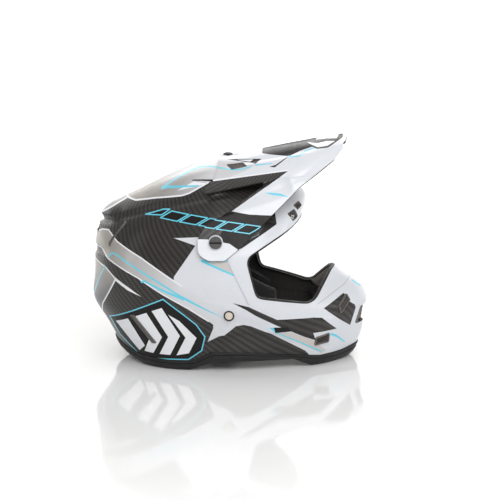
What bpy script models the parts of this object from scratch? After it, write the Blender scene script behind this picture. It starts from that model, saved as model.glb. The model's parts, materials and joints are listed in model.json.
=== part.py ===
"""Motocross helmet with a tilting peak, a floating inner liner, removable cheek pads and a D-ring strap.

The helmet stands on a level surface at Z = 0 and faces +X; +Y is the wearer's left.
Every number below is in millimetres. Points become metres only where a mesh is made.
"""
import math

import bmesh
import bpy
import numpy as np
from mathutils import Matrix, Vector
from mathutils.bvhtree import BVHTree

MM = 0.001

# ---- driving dimensions -------------------------------------------------------------------------
SHELL_THICKNESS = 3.5
PEAK_THICKNESS = 2.6
TRIM_THICKNESS = 7.5
TRIM_PROUD = 1.2
FIT_GAP = 0.3
INSERT_GAP = 0.45
LINER_GAP = 1.0

HEAD_CENTRE = np.array((-26.0, 0.0, 122.0))
HEAD_RADII = np.array((98.0, 77.0, 90.0))
HEAD_TILT = math.radians(15)
COMFORT_DEPTH = (0.0, 8.4)
INNER_LINER_DEPTH = (9.2, 17.6)
OUTER_LINER_INNER_DEPTH = 24.4
DAMPER_RADIUS = 8.0
DAMPER_CLEARANCE = (1.2, 1.8)

PIVOT = (-11.0, 167.0)
TOP_SCREW_X = -1.0
TOP_SLOT_TRAVEL = 5.3
TOP_SEAT_DEPTH = 0.9
SCREW_SHANK_RADIUS = 3.0
SIDE_SCREW_HEAD = (8.0, 3.4)
BOSS_RADIUS = 9.0
BOSS_HEIGHT = 2.6
TOP_SCREW_HEAD = (6.5, 1.4)

RIVET = (5.0, 75.0)
RIVET_HEAD_RADIUS = 6.0
RIVET_LIFT = 1.3
STRAP_WIDTH = 25.0
STRAP_THICKNESS = 1.6
CHEEK_FOAM_FACE = 90.0
CHEEK_PAD_FACES = (86.5, 66.0)

# The outer surface is a spline surface through these rings, from the crown down to the lower rim of
# the base trim. Each ring lists one half of the helmet from the front round to the back:
# front, nose quarter, cheek, side, rear quarter, rear. The other half mirrors it.
CROWN = (-20.0, 0.0, 259.0)
RINGS = (
    ((32, 0, 253.5), (24, 28, 251.5), (6, 46, 248.5), (-22, 54, 246.5), (-56, 40, 242), (-72, 0, 239.5)),
    ((70, 0, 238), (61, 38, 233), (38, 68, 225), (-15, 84, 221), (-84, 60, 215), (-112, 0, 219)),
    ((92, 0, 223), (83, 46, 214), (56, 80, 202), (-13, 102, 196), (-108, 74, 189), (-146, 0, 201)),
    ((100, 0, 208), (91, 54, 198), (62, 93, 181), (-12, 113, 168), (-121, 85, 163), (-168, 0, 177)),
    ((94, 0, 186), (88, 58, 175), (65, 101, 155), (-10, 121, 141), (-127, 90, 135), (-174, 0, 147)),
    ((114, 0, 153), (104, 62, 140), (74, 103, 123), (-8, 123, 113), (-128, 91, 105), (-175, 0, 113)),
    ((136, 0, 120), (124, 46, 103), (88, 95, 90), (-5, 118, 84), (-125, 88, 77), (-177, 0, 79)),
    ((175.5, 0, 88), (151, 48, 77), (97, 89, 62), (0, 111, 57), (-117, 84, 52), (-160, 0, 50)),
    ((175, 0, 43), (148, 47, 39), (97, 82, 34), (3, 104, 32), (-106, 82, 30), (-151, 0, 33)),
    ((168, 0, 18), (142, 42, 13), (98, 72, 10), (3, 98, 13), (-92, 80, 8), (-148, 0, 24)),
    ((157, 0, -2), (132, 36, -5), (95, 63, -8), (3, 90, -6), (-86, 73, -8), (-138, 0, 4)),
)
RIM_START = 8.0

# Height of the upper and the lower edge of the base trim against X.
TRIM_TOP = (
    (-150, 27), (-128, 19), (-106, 14.5), (-64, 12), (-38, 14), (-18, 25), (25, 24.5), (88, 18),
    (118, 13.5), (145, 15), (170, 20),
)
TRIM_BOTTOM = (
    (-150, 17), (-129, 7.5), (-104, -0.5), (-46, -0.5), (-22, 9), (-14, 11.5), (84, 12), (96, 6),
    (107, -0.5), (140, -0.5), (153, 1.5), (170, 7),
)

# The eyeport as seen from the side, with a corner radius at each point.
EYEPORT = (
    (26, 147, 12), (39, 97, 10), (109, 84, 16), (135, 120, 10),
    (230, 121, 0), (230, 186, 0), (92, 186, 8),
)

# The peak is a spline surface through these lengthwise lines, from its rear edge to its tip.
PEAK_RIDGE = (
    (-14, 0, 261.9), (8, 0, 262.7), (28, 0, 266.8), (62, 0, 274), (98, 0, 281), (130, 0, 287),
    (152, 0, 290),
)
PEAK_SHOULDER = (
    (-14, 30, 260.4), (8, 31, 261.3), (28, 32, 264.8), (62, 33, 271), (98, 32, 278), (128, 27, 284.5),
    (151.5, 18, 289),
)
PEAK_CREASE = (
    (-22, 73, 239), (4, 76, 242), (28, 78, 245), (62, 80, 250), (96, 74, 261), (125, 56, 274.5),
    (149, 35, 285),
)
PEAK_FLANK = (
    (-38, 101, 211), (4, 104, 209), (28, 102, 214), (62, 99, 222), (93, 88, 243), (127, 67, 267),
    (146, 44, 282),
)
PEAK_HEM = (
    (-42, 127, 141), (0, 127, 139), (26, 121, 159), (60, 112, 191), (90, 97, 228), (129, 75, 259),
    (146, 52, 273),
)

# The outline that trims the peak, seen from the side, with a corner radius at each point.
PEAK_OUTLINE = (
    (-12, 295, 0), (-12, 251, 0), (-15, 239, 3), (-33, 222, 3), (58, 241, 3), (26, 219, 0), (7, 206, 0),
    (-5, 197, 6), (-22, 189, 6), (-33, 171, 8), (-33, 153, 12), (-20, 145, 12), (0, 145, 8), (20, 161, 6), (53, 195, 0),
    (92, 233, 0), (134, 264, 0), (149, 279, 4), (158, 295, 0),
)

COLOURS = {
    "painted_white": ((0.78, 0.80, 0.83), 0.35, 0.0),
    "carbon_lacquer": ((0.03, 0.03, 0.032), 0.35, 0.0),
    "black_rubber": ((0.02, 0.02, 0.02), 0.65, 0.0),
    "vent_plastic": ((0.12, 0.115, 0.11), 0.5, 0.0),
    "vent_mesh": ((0.09, 0.085, 0.08), 0.6, 0.2),
    "screw_plastic": ((0.10, 0.10, 0.10), 0.55, 0.0),
    "steel": ((0.55, 0.55, 0.55), 0.3, 1.0),
    "rivet_enamel": ((0.62, 0.57, 0.50), 0.4, 0.0),
    "brass_insert": ((0.70, 0.52, 0.25), 0.35, 1.0),
    "foam_black": ((0.035, 0.035, 0.035), 0.85, 0.0),
    "foam_grey": ((0.22, 0.22, 0.22), 0.85, 0.0),
    "damper_rubber": ((0.05, 0.35, 0.55), 0.6, 0.0),
    "lining_fabric": ((0.03, 0.028, 0.028), 0.9, 0.0),
    "webbing": ((0.03, 0.03, 0.03), 0.8, 0.0),
}


# ---- scene set-up -------------------------------------------------------------------------------
def clear_scene():
    for old in list(bpy.data.objects):
        bpy.data.objects.remove(old, do_unlink=True)


def new_collection(name):
    collection = bpy.data.collections.new(name)
    bpy.context.scene.collection.children.link(collection)
    return collection


def material(name):
    found = bpy.data.materials.get(name)
    if found:
        return found
    colour, roughness, metallic = COLOURS[name]
    made = bpy.data.materials.new(name)
    made.use_nodes = True
    shader = made.node_tree.nodes["Principled BSDF"]
    shader.inputs["Base Color"].default_value = (*colour, 1.0)
    shader.inputs["Roughness"].default_value = roughness
    shader.inputs["Metallic"].default_value = metallic
    made.diffuse_color = (*colour, 1.0)
    return made


clear_scene()
PARTS = new_collection("motocross_helmet")
CUTTERS = new_collection("cutters")


def add_object(name, mesh, material_name, matrix=None):
    made = bpy.data.objects.new(name, mesh)
    PARTS.objects.link(made)
    if material_name:
        mesh.materials.append(material(material_name))
    if matrix is not None:
        made.matrix_world = matrix
    return made


def add_cutter(name, mesh, matrix=None, collection=None):
    made = bpy.data.objects.new(name, mesh)
    (collection or CUTTERS).objects.link(made)
    if matrix is not None:
        made.matrix_world = matrix
    made.hide_render = True
    made.display_type = "WIRE"
    return made


def cutter_group(name):
    group = bpy.data.collections.new(name)
    CUTTERS.children.link(group)
    return group


def cut_by_group(target, group):
    for cutter in group.objects:
        cut_by(target, cutter)


def cut_by(target, cutter, operation="DIFFERENCE"):
    cut = target.modifiers.new("cut_" + cutter.name, "BOOLEAN")
    cut.object = cutter
    cut.operation = operation
    cut.solver = "EXACT"


# ---- spline surfaces ----------------------------------------------------------------------------
def blend_weights(fraction):
    """Catmull-Rom weights of the four controls round a segment."""
    f = fraction
    return (
        0.5 * (-f + 2 * f * f - f ** 3),
        0.5 * (2 - 5 * f * f + 3 * f ** 3),
        0.5 * (f + 4 * f * f - 3 * f ** 3),
        0.5 * (-f * f + f ** 3),
    )


def on_closed_line(controls, t):
    count = len(controls)
    first = math.floor(t)
    weights = blend_weights(t - first)
    return sum(w * controls[(first + k - 1) % count] for k, w in enumerate(weights))


def on_open_line(controls, s):
    last = len(controls) - 1
    first = min(max(math.floor(s), 0), last - 1)
    padded = [2 * controls[0] - controls[1], *controls, 2 * controls[-1] - controls[-2]]
    weights = blend_weights(s - first)
    return sum(w * padded[first + k] for k, w in enumerate(weights))


def whole_ring(half):
    points = [np.array(p, float) for p in half]
    mirrored = [p * (1, -1, 1) for p in reversed(points[1:-1])]
    return points + mirrored


RING_LINES = [whole_ring(half) for half in RINGS]
STATIONS = len(RING_LINES[0])


def envelope(t, v):
    """Outer surface: t runs 0 to 10 round the helmet from the front, v runs 0 to 11 from the crown."""
    crown = np.array(CROWN)
    first = min(max(math.floor(v), 0), len(RINGS) - 1)
    weights = blend_weights(v - first)
    total = np.zeros(3)
    for k, weight in enumerate(weights):
        ring = first + k - 1
        if ring < 0:
            point = on_closed_line(RING_LINES[0], t + STATIONS / 2)
        elif ring == 0:
            point = crown
        elif ring > len(RINGS):
            point = 2 * on_closed_line(RING_LINES[-1], t) - on_closed_line(RING_LINES[-2], t)
        else:
            point = on_closed_line(RING_LINES[ring - 1], t)
        total += weight * point
    return total


def envelope_normal(t, v):
    step = 0.02
    across = envelope(t + step, v) - envelope(t - step, v)
    along = envelope(t, v + step) - envelope(t, max(v - step, 0.0))
    normal = np.cross(across, along)
    length = np.linalg.norm(normal)
    if length < 1e-6:
        return np.array((0.0, 0.0, 1.0))
    return -normal / length


def rim(t, line, lowest=11.0):
    """Value of v where the outer surface at t meets a height line given against X."""
    xs, heights = zip(*line)
    low, high = RIM_START, lowest
    for _ in range(24):
        middle = (low + high) / 2
        point = envelope(t, middle)
        if point[2] > np.interp(point[0], xs, heights):
            low = middle
        else:
            high = middle
    return low


def under_shell(t, v, depth):
    return envelope(t, v) - envelope_normal(t, v) * depth


HEAD_AXES = np.array((
    (math.cos(HEAD_TILT), 0, math.sin(HEAD_TILT)),
    (0, 1, 0),
    (-math.sin(HEAD_TILT), 0, math.cos(HEAD_TILT)),
))


def head_form(direction, depth):
    """Point on the head form, which tips back by HEAD_TILT, moved out by a depth."""
    unit = direction / np.linalg.norm(direction)
    return HEAD_CENTRE + unit / np.linalg.norm(HEAD_AXES @ unit / (HEAD_RADII + depth))


def steps_between(counts, closed=True):
    """Values 0..n with the given number of steps in each unit interval."""
    values = [i + k / count for i, count in enumerate(counts) for k in range(count)]
    if not closed:
        values.append(float(len(counts)))
    return values


HALF_COUNTS = (3, 4, 6, 7, 5)
AROUND = steps_between(HALF_COUNTS + HALF_COUNTS[::-1])


# ---- mesh builders ------------------------------------------------------------------------------
def mesh_from(name, points, faces, smooth=True):
    mesh = bpy.data.meshes.new(name)
    mesh.from_pydata([Vector(p) * MM for p in points], [], faces)
    mesh.validate()
    if smooth:
        mesh.shade_smooth()
        mesh.set_sharp_from_angle(angle=math.radians(35))
    return mesh


def outward(mesh):
    bm = bmesh.new()
    bm.from_mesh(mesh)
    bmesh.ops.recalc_face_normals(bm, faces=bm.faces)
    bm.to_mesh(mesh)
    bm.free()
    return mesh


def dome_faces(rows, columns):
    """Faces of a pole at vertex 0 and closed rows of columns vertices below it."""
    faces = []
    for c in range(columns):
        d = (c + 1) % columns
        faces.append((0, 1 + d, 1 + c))
        for r in range(rows - 1):
            a = 1 + r * columns
            faces.append((a + c, a + d, a + columns + d, a + columns + c))
    return faces


def slab(name, outer, inner, closed_rows=False):
    """Closed solid between two grids of equal size, rows by columns."""
    rows, columns = len(outer), len(outer[0])
    points = [p for row in outer for p in row] + [p for row in inner for p in row]
    offset = rows * columns
    span = columns if closed_rows else columns - 1
    faces = []
    for r in range(rows - 1):
        for c in range(span):
            d = (c + 1) % columns
            quad = (r * columns + c, r * columns + d, (r + 1) * columns + d, (r + 1) * columns + c)
            faces.append(quad)
            faces.append(tuple(offset + i for i in reversed(quad)))
    for c in range(span):
        d = (c + 1) % columns
        for r, flip in ((0, True), (rows - 1, False)):
            wall = (r * columns + c, r * columns + d, offset + r * columns + d, offset + r * columns + c)
            faces.append(wall if flip else tuple(reversed(wall)))
    if not closed_rows:
        for r in range(rows - 1):
            for c, flip in ((0, False), (columns - 1, True)):
                near, far = r * columns + c, (r + 1) * columns + c
                wall = (near, far, offset + far, offset + near)
                faces.append(wall if flip else tuple(reversed(wall)))
    return outward(mesh_from(name, points, faces))


def dome_solid(name, outer, inner):
    """Closed dome between two sets of rows, each with its own pole in row 0."""
    rows, columns = len(outer) - 1, len(outer[1])
    points = [outer[0]] + [p for row in outer[1:] for p in row]
    offset = len(points)
    points += [inner[0]] + [p for row in inner[1:] for p in row]
    skin = dome_faces(rows, columns)
    faces = skin + [tuple(offset + i for i in reversed(face)) for face in skin]
    rim = 1 + (rows - 1) * columns
    for c in range(columns):
        d = (c + 1) % columns
        faces.append((rim + c, rim + d, offset + rim + d, offset + rim + c))
    return outward(mesh_from(name, points, faces))


def rounded_outline(corners, arc_steps=5):
    """Polygon through (u, w, radius) corners, each corner with a radius turned into an arc."""
    outline = []
    count = len(corners)
    for i, (u, w, radius) in enumerate(corners):
        corner = Vector((u, w))
        if radius <= 0:
            outline.append(corner)
            continue
        before = (Vector(corners[i - 1][:2]) - corner).normalized()
        after = (Vector(corners[(i + 1) % count][:2]) - corner).normalized()
        half_angle = before.angle(after) / 2
        reach = radius / math.tan(half_angle)
        centre = corner + (before + after).normalized() * (radius / math.sin(half_angle))
        start = corner + before * reach - centre
        sweep = start.angle_signed(corner + after * reach - centre)
        for k in range(arc_steps + 1):
            turned = start.copy()
            turned.rotate(Matrix.Rotation(-sweep * k / arc_steps, 2))
            outline.append(centre + turned)
    return outline


def prism(name, outline, low, high):
    """Flat outline in local X and Y, extruded along local Z from low to high."""
    bm = bmesh.new()
    ring = [bm.verts.new((p[0] * MM, p[1] * MM, low * MM)) for p in outline]
    face = bm.faces.new(ring)
    raised = bmesh.ops.extrude_face_region(bm, geom=[face])["geom"]
    moved = [item for item in raised if isinstance(item, bmesh.types.BMVert)]
    bmesh.ops.translate(bm, verts=moved, vec=(0, 0, (high - low) * MM))
    bmesh.ops.recalc_face_normals(bm, faces=bm.faces)
    mesh = bpy.data.meshes.new(name)
    bm.to_mesh(mesh)
    bm.free()
    return mesh


def cylinder(name, radius, low, high, sides=24):
    bm = bmesh.new()
    middle = Matrix.Translation((0, 0, (low + high) / 2 * MM))
    bmesh.ops.create_cone(
        bm, cap_ends=True, segments=sides, radius1=radius * MM, radius2=radius * MM,
        depth=(high - low) * MM, matrix=middle,
    )
    mesh = bpy.data.meshes.new(name)
    bm.to_mesh(mesh)
    bm.free()
    mesh.shade_smooth()
    mesh.set_sharp_from_angle(angle=math.radians(35))
    return mesh


def turned(name, profile, material_name, matrix, steps=24, closed=False):
    """Solid of revolution about local Z from an (r, z) profile that runs down its outer side."""
    mesh = bpy.data.meshes.new(name)
    points = [(r * MM, 0, z * MM) for r, z in profile]
    edges = [(i, i + 1) for i in range(len(points) - 1)]
    if closed:
        edges.append((len(points) - 1, 0))
    mesh.from_pydata(points, edges, [])
    made = add_object(name, mesh, material_name, matrix)
    screw = made.modifiers.new("turn", "SCREW")
    screw.axis = "Z"
    screw.steps = steps
    screw.render_steps = steps
    screw.use_merge_vertices = True
    screw.merge_threshold = 0.00001
    screw.use_smooth_shade = True
    return made


# ---- frames on the surface ----------------------------------------------------------------------
def surface_tree(point_at, rows, columns, closed):
    points = [point_at(t, v) for v in rows for t in columns]
    width = len(columns)
    faces = []
    for r in range(len(rows) - 1):
        for c in range(width if closed else width - 1):
            d = (c + 1) % width
            faces.append((r * width + c, r * width + d, (r + 1) * width + d, (r + 1) * width + c))
    return BVHTree.FromPolygons([Vector(p) for p in points], faces)


FINE_AROUND = [k * 0.1 for k in range(100)]
FINE_DOWN = [0.05 + k * 0.15 for k in range(74)]
SHELL_TREE = surface_tree(envelope, FINE_DOWN, FINE_AROUND, True)


def shell_width(x, z):
    """Half width of the shell where a line along Y at x, z meets it."""
    hit = SHELL_TREE.ray_cast(Vector((x, 300, z)), Vector((0, -1, 0)))[0]
    return hit.y


def frame_from_side(x, z, lean, side):
    """Frame on the shell at x, z: local X leans by the angle seen from the side, local Z points out."""
    hit, normal, _, _ = SHELL_TREE.ray_cast(Vector((x, side * 300, z)), Vector((0, -side, 0)))
    if normal.y * side < 0:
        normal.negate()
    along = Vector((math.cos(math.radians(lean)), 0, math.sin(math.radians(lean))))
    return frame_at(hit, normal, along)


def frame_from_front(y, z, side):
    """Frame on the front of the shell at y, z: local X points to the given side, local Z points out."""
    hit, normal, _, _ = SHELL_TREE.ray_cast(Vector((400, y, z)), Vector((-1, 0, 0)))
    if normal.x < 0:
        normal.negate()
    return frame_at(hit, normal, Vector((0, side, 0)))


def frame_at(origin, normal, along):
    across = normal.cross(along).normalized()
    along = across.cross(normal).normalized()
    rotation = Matrix((along, across, normal)).transposed().to_4x4()
    return Matrix.Translation(Vector(origin) * MM) @ rotation


def axis_frame(origin, axis):
    """Frame at origin whose local Z is the given axis."""
    turn = Vector(axis).to_track_quat("Z", "Y").to_matrix().to_4x4()
    return Matrix.Translation(Vector(origin) * MM) @ turn


SIDE_VIEW = Matrix.Rotation(math.radians(90), 4, "X")
SHELL_CUTS = cutter_group("shell_cuts")
SIDES = (("right", -1), ("left", 1))


# ---- outer shell --------------------------------------------------------------------------------
def make_shell():
    edge = {t: rim(t, TRIM_TOP) for t in AROUND}
    rows = steps_between((2,) * 8, closed=False)[1:]
    points = [np.array(CROWN)] + [envelope(t, v) for v in rows for t in AROUND]
    lower = (0.33, 0.67, 1.0)
    points += [envelope(t, RIM_START + (edge[t] - RIM_START) * share) for share in lower for t in AROUND]
    rows += lower
    mesh = outward(mesh_from("outer_shell", points, dome_faces(len(rows), len(AROUND))))
    shell = add_object("outer_shell", mesh, "painted_white")
    wall = shell.modifiers.new("wall", "SOLIDIFY")
    wall.thickness = SHELL_THICKNESS * MM
    wall.offset = -1
    wall.use_even_offset = True
    outline = [(p.x, p.y) for p in rounded_outline(EYEPORT)]
    add_cutter("eyeport_cutter", prism("eyeport_cutter", outline, -160, 160), SIDE_VIEW, SHELL_CUTS)
    return shell


def make_base_trim():
    top = {t: rim(t, TRIM_TOP) + 0.04 for t in AROUND}
    bottom = {t: rim(t, TRIM_BOTTOM) for t in AROUND}
    outer, inner = [], []
    for share in (0.0, 0.5, 1.0):
        down = [(t, top[t] + (bottom[t] - top[t]) * share) for t in AROUND]
        outer.append([under_shell(t, v, -TRIM_PROUD) for t, v in down])
        inner.append([under_shell(t, v, TRIM_THICKNESS - TRIM_PROUD) for t, v in down])
    trim = add_object("base_trim", slab("base_trim", outer, inner, closed_rows=True), "black_rubber")
    level = prism("ground_cutter", ((-250, -200), (250, -200), (250, 200), (-250, 200)), -30, 0)
    cut_by(trim, add_cutter("ground_cutter", level))
    return trim


def eyeport_loop(depth):
    """Points inside the shell wall along the edge of the eyeport, as one closed loop."""
    outline = rounded_outline(EYEPORT[-1:] + EYEPORT[:-1], arc_steps=3)
    near = [p for p in outline if p.x < 150]
    dense = []
    for a, b in zip(near, near[1:]):
        pieces = max(1, round((b - a).length / 9))
        dense += [a.lerp(b, k / pieces) for k in range(pieces)]
    dense.append(near[-1])
    half = []
    for p in dense:
        hit, normal, _, _ = SHELL_TREE.ray_cast(Vector((p.x, 300, p.y)), Vector((0, -1, 0)))
        if hit is None:
            continue
        if normal.dot(hit - Vector((-20, 0, hit.z))) < 0:
            normal.negate()
        half.append(hit - normal * depth)
    half = [p for p in half if p.y > 3]
    return half + [Vector((p.x, -p.y, p.z)) for p in reversed(half)]


def make_eyeport_trim():
    radius = 2.3
    curve = bpy.data.curves.new("eyeport_trim", "CURVE")
    curve.dimensions = "3D"
    curve.bevel_depth = radius * MM
    curve.bevel_resolution = 1
    line = curve.splines.new("POLY")
    loop = eyeport_loop(SHELL_THICKNESS + radius + 0.8)
    line.points.add(len(loop) - 1)
    for point, at in zip(line.points, loop):
        point.co = (*(at * MM), 1.0)
    line.use_cyclic_u = True
    trim = bpy.data.objects.new("eyeport_trim", curve)
    PARTS.objects.link(trim)
    curve.materials.append(material("black_rubber"))
    return trim


# ---- vents --------------------------------------------------------------------------------------
def flipped(outline):
    """The outline mirrored across its local X, for the left side of the helmet."""
    return tuple((u, -w, radius) for u, w, radius in reversed(outline))


def make_vent(name, frame, outline, material_name, proud=1.2, sink=3.9):
    """A hole through the shell and the insert that fills it, both along the local normal."""
    if name.endswith("_left"):
        outline = flipped(outline)
    grown = [(p[0], p[1]) for p in rounded_outline(outline, 3)]
    centre = Vector((sum(p[0] for p in grown), sum(p[1] for p in grown))) / len(grown)
    shrunk = [tuple(Vector(p) - (Vector(p) - centre).normalized() * INSERT_GAP) for p in grown]
    add_cutter(name + "_cutter", prism(name + "_cutter", grown, -14, 14), frame, SHELL_CUTS)
    return add_object(name, prism(name, shrunk, -sink, proud), material_name, frame)


def blade_outline(length, width):
    return (
        (-length / 2, -width / 2, 1.2), (length / 2 - 4, -width / 2, 1.2), (length / 2, width / 2, 1.2),
        (-length / 2 + 4, width / 2, 1.2),
    )


def make_vents():
    for name, side in SIDES:
        upper = frame_from_side(-139, 170, 51, side)
        make_vent(f"exhaust_upper_{name}", upper, blade_outline(42, 5), "vent_plastic")
        lower = frame_from_side(-104, 52, -51, side)
        make_vent(f"exhaust_lower_{name}", lower, blade_outline(50, 6), "vent_plastic")
        outer_brow = frame_from_front(side * 69, 194, side)
        outline = ((-8, -6, 2), (8, -6, 2), (6, 6, 2), (-10, 6, 2))
        make_vent(f"brow_vent_outer_{name}", outer_brow, outline, "vent_mesh")
        inner_brow = frame_from_front(side * 52, 204, side)
        outline = ((-8, -4, 1.5), (8, -4, 1.5), (6, 4, 1.5), (-10, 4, 1.5))
        make_vent(f"brow_vent_inner_{name}", inner_brow, outline, "vent_mesh")
        make_vent(
            f"chin_vent_upper_{name}", frame_from_side(149, 79, 43, side),
            ((-14, -4.5, 2), (10, -4.5, 2), (14, 3.5, 2), (-10, 4.5, 2)), "vent_plastic", proud=1.6,
        )
        make_vent(
            f"chin_vent_lower_{name}", frame_from_side(121, 36, 8, side),
            ((-13, -5, 2), (9, -9, 2), (13, 4, 2), (-9, 6, 2)), "vent_plastic", proud=1.6,
        )
    rear = ((-26, -5, 2), (26, -5, 2), (20, 5, 2), (-20, 5, 2))
    make_vent("rear_vent", frame_from_back(0, 171), rear, "vent_mesh", proud=0.6)


def frame_from_back(y, z):
    hit, normal, _, _ = SHELL_TREE.ray_cast(Vector((-400, y, z)), Vector((1, 0, 0)))
    if normal.x > 0:
        normal.negate()
    return frame_at(hit, normal, Vector((0, -1, 0)))


MOUTH = ((-31, 47, 4), (31, 47, 4), (25, 70, 4), (-25, 70, 4))
MOUTH_FRONT = 164.0
MOUTH_BACK = 150.0
FRONT_VIEW = Matrix(((0, 0, 1, 0), (1, 0, 0, 0), (0, 1, 0, 0), (0, 0, 0, 1)))


def inset(outline, distance):
    """Outline moved inwards by a distance along its corner bisectors."""
    moved = []
    count = len(outline)
    for i, point in enumerate(outline):
        before = (outline[i] - outline[i - 1]).normalized()
        after = (outline[(i + 1) % count] - outline[i]).normalized()
        inward = Vector((-before.y - after.y, before.x + after.x)).normalized()
        moved.append(point + inward * distance)
    return moved


def make_mouth_vent():
    hole = rounded_outline(MOUTH, 4)
    add_cutter("mouth_cutter", prism("mouth_cutter", hole, 120, 200), FRONT_VIEW, SHELL_CUTS)
    frame_outer = inset(hole, INSERT_GAP)
    frame_inner = inset(hole, 3.4)
    ring = [[(p.x, p.y, d) for p in frame_outer] for d in (MOUTH_BACK, MOUTH_FRONT)]
    core = [[(p.x, p.y, d) for p in frame_inner] for d in (MOUTH_BACK, MOUTH_FRONT)]
    add_object("mouth_vent_bezel", slab("mouth_vent_bezel", ring, core, True), "vent_plastic", FRONT_VIEW)
    plate = prism("mouth_vent_mesh", inset(hole, 3.4 + FIT_GAP), MOUTH_BACK + 4, MOUTH_BACK + 6.5)
    add_object("mouth_vent_mesh", plate, "vent_mesh", FRONT_VIEW)


# ---- peak ---------------------------------------------------------------------------------------
PEAK_LINES = [
    [np.array(p, float) for p in line]
    for line in (PEAK_RIDGE, PEAK_SHOULDER, PEAK_CREASE, PEAK_FLANK, PEAK_HEM)
]
PEAK_LAST = len(PEAK_RIDGE) - 1


def peak_point(s, c):
    """Peak surface: s runs 0 to 6 from the rear edge to the tip, c runs -4 to 4 across from hem to hem."""
    side = -1 if c < 0 else 1
    lines = [on_open_line(line, s) for line in PEAK_LINES]
    mirrored = [lines[1] * (1, -1, 1)] + lines
    first = min(math.floor(abs(c)), 3)
    padded = mirrored + [2 * lines[-1] - lines[-2]]
    weights = blend_weights(abs(c) - first)
    point = sum(w * padded[first + k] for k, w in enumerate(weights))
    return point * (1, side, 1)


PEAK_STEPS = [k * 0.15 for k in range(41)]
PEAK_SPAN = [k * 0.1 - 4 for k in range(81)]
PEAK_TREE = surface_tree(lambda c, s: peak_point(s, c), PEAK_STEPS, PEAK_SPAN, False)


def peak_width(x, z):
    hit = PEAK_TREE.ray_cast(Vector((x, 300, z)), Vector((0, -1, 0)))[0]
    return hit.y


PEAK_CUTS = cutter_group("peak_cuts")


def make_peak():
    along = steps_between((2, 3, 3, 3, 3, 2), closed=False)
    half = steps_between((3, 3, 3, 5), closed=False)
    across = [-c for c in reversed(half[1:])] + half
    points = [peak_point(s, c) for s in along for c in across]
    width = len(across)
    faces = [
        (r * width + c, (r + 1) * width + c, (r + 1) * width + c + 1, r * width + c + 1)
        for r in range(len(along) - 1) for c in range(width - 1)
    ]
    pivot = Matrix.Translation((PIVOT[0] * MM, 0, PIVOT[1] * MM))
    mesh = mesh_from("peak", [Vector(p) - Vector((PIVOT[0], 0, PIVOT[1])) for p in points], faces)
    peak = add_object("peak", mesh, "painted_white", pivot)
    wall = peak.modifiers.new("wall", "SOLIDIFY")
    wall.thickness = PEAK_THICKNESS * MM
    wall.offset = -1
    wall.use_even_offset = True
    outline = [(p.x, p.y) for p in rounded_outline(PEAK_OUTLINE)]
    trim = add_cutter("peak_outline", prism("peak_outline", outline, -160, 160), SIDE_VIEW)
    cut_by(peak, trim, "INTERSECT")
    for name, side in SIDES:
        seat = axis_frame((PIVOT[0], side * peak_width(*PIVOT), PIVOT[1]), (0, side, 0))
        boss = cylinder(f"boss_{name}", BOSS_RADIUS, -1.2, BOSS_HEIGHT)
        cut_by(peak, add_cutter(f"boss_{name}", boss, seat), "UNION")
    return peak


def frame_on_peak(x, y, lean):
    hit, normal, _, _ = PEAK_TREE.ray_cast(Vector((x, y, 500)), Vector((0, 0, -1)))
    if normal.z < 0:
        normal.negate()
    along = Vector((math.cos(math.radians(lean)), math.sin(math.radians(lean)), 0))
    return frame_at(hit, normal, along)


def make_peak_meshes():
    for name, side in SIDES:
        frame = frame_on_peak(12, side * 54, 0)
        corners = ((-13, -8 * side, 1.5), (8, -9 * side, 1.5), (14, 6 * side, 1.5), (-6, 9 * side, 1.5))
        if side < 0:
            corners = corners[::-1]
        hole = rounded_outline(corners, 2)
        add_cutter(f"intake_cutter_{name}", prism(f"intake_cutter_{name}", hole, -9, 9), frame, PEAK_CUTS)
        plate = prism(f"peak_intake_mesh_{name}", inset(hole, INSERT_GAP), -1.9, -0.4)
        add_object(f"peak_intake_mesh_{name}", plate, "vent_mesh", frame)


def screw_profile(head_radius, head_height, length):
    """Shank below zero, head above it, in local Z."""
    return (
        (0, head_height), (head_radius - 1, head_height), (head_radius, head_height - 1), (head_radius, 0),
        (SCREW_SHANK_RADIUS, 0), (SCREW_SHANK_RADIUS, -length), (0, -length),
    )


def insert_profile(outer, height):
    bore = SCREW_SHANK_RADIUS + FIT_GAP
    return ((outer, 0), (outer, -height), (bore, -height), (bore, 0))


LINER_CUTS = cutter_group("liner_cuts")


def make_peak_fixings():
    x, z = PIVOT
    wing = peak_width(x, z) + BOSS_HEIGHT + FIT_GAP
    wall = shell_width(x, z) - SHELL_THICKNESS - 2.6
    insert_height = 4.0
    for name, side in SIDES:
        frame = axis_frame((x, side * wing, z), (0, side, 0))
        length = wing - wall + insert_height + 1
        profile = screw_profile(*SIDE_SCREW_HEAD, length)
        screw = turned(f"peak_screw_{name}", profile, "screw_plastic", frame)
        groove = prism(f"groove_{name}", ((-9, -1), (9, -1), (9, 1), (-9, 1)), SIDE_SCREW_HEAD[1] - 1.4, 9)
        cut_by(screw, add_cutter(f"groove_{name}", groove, frame))
        hole = cylinder(f"pivot_hole_{name}", SCREW_SHANK_RADIUS + FIT_GAP, -40, 20)
        add_cutter(f"pivot_hole_{name}", hole, frame, SHELL_CUTS)
        add_cutter(f"peak_hole_{name}", hole, frame, PEAK_CUTS)
        seat = axis_frame((x, side * (wall - 0.3), z), (0, side, 0))
        profile = insert_profile(7.0, insert_height)
        turned(f"peak_insert_{name}", profile, "brass_insert", seat, closed=True)
        pocket = cylinder(f"liner_pocket_{name}", 9.0, -insert_height - 3, 14)
        add_cutter(f"liner_pocket_{name}", pocket, seat, LINER_CUTS)
    make_top_fixing()


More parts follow.
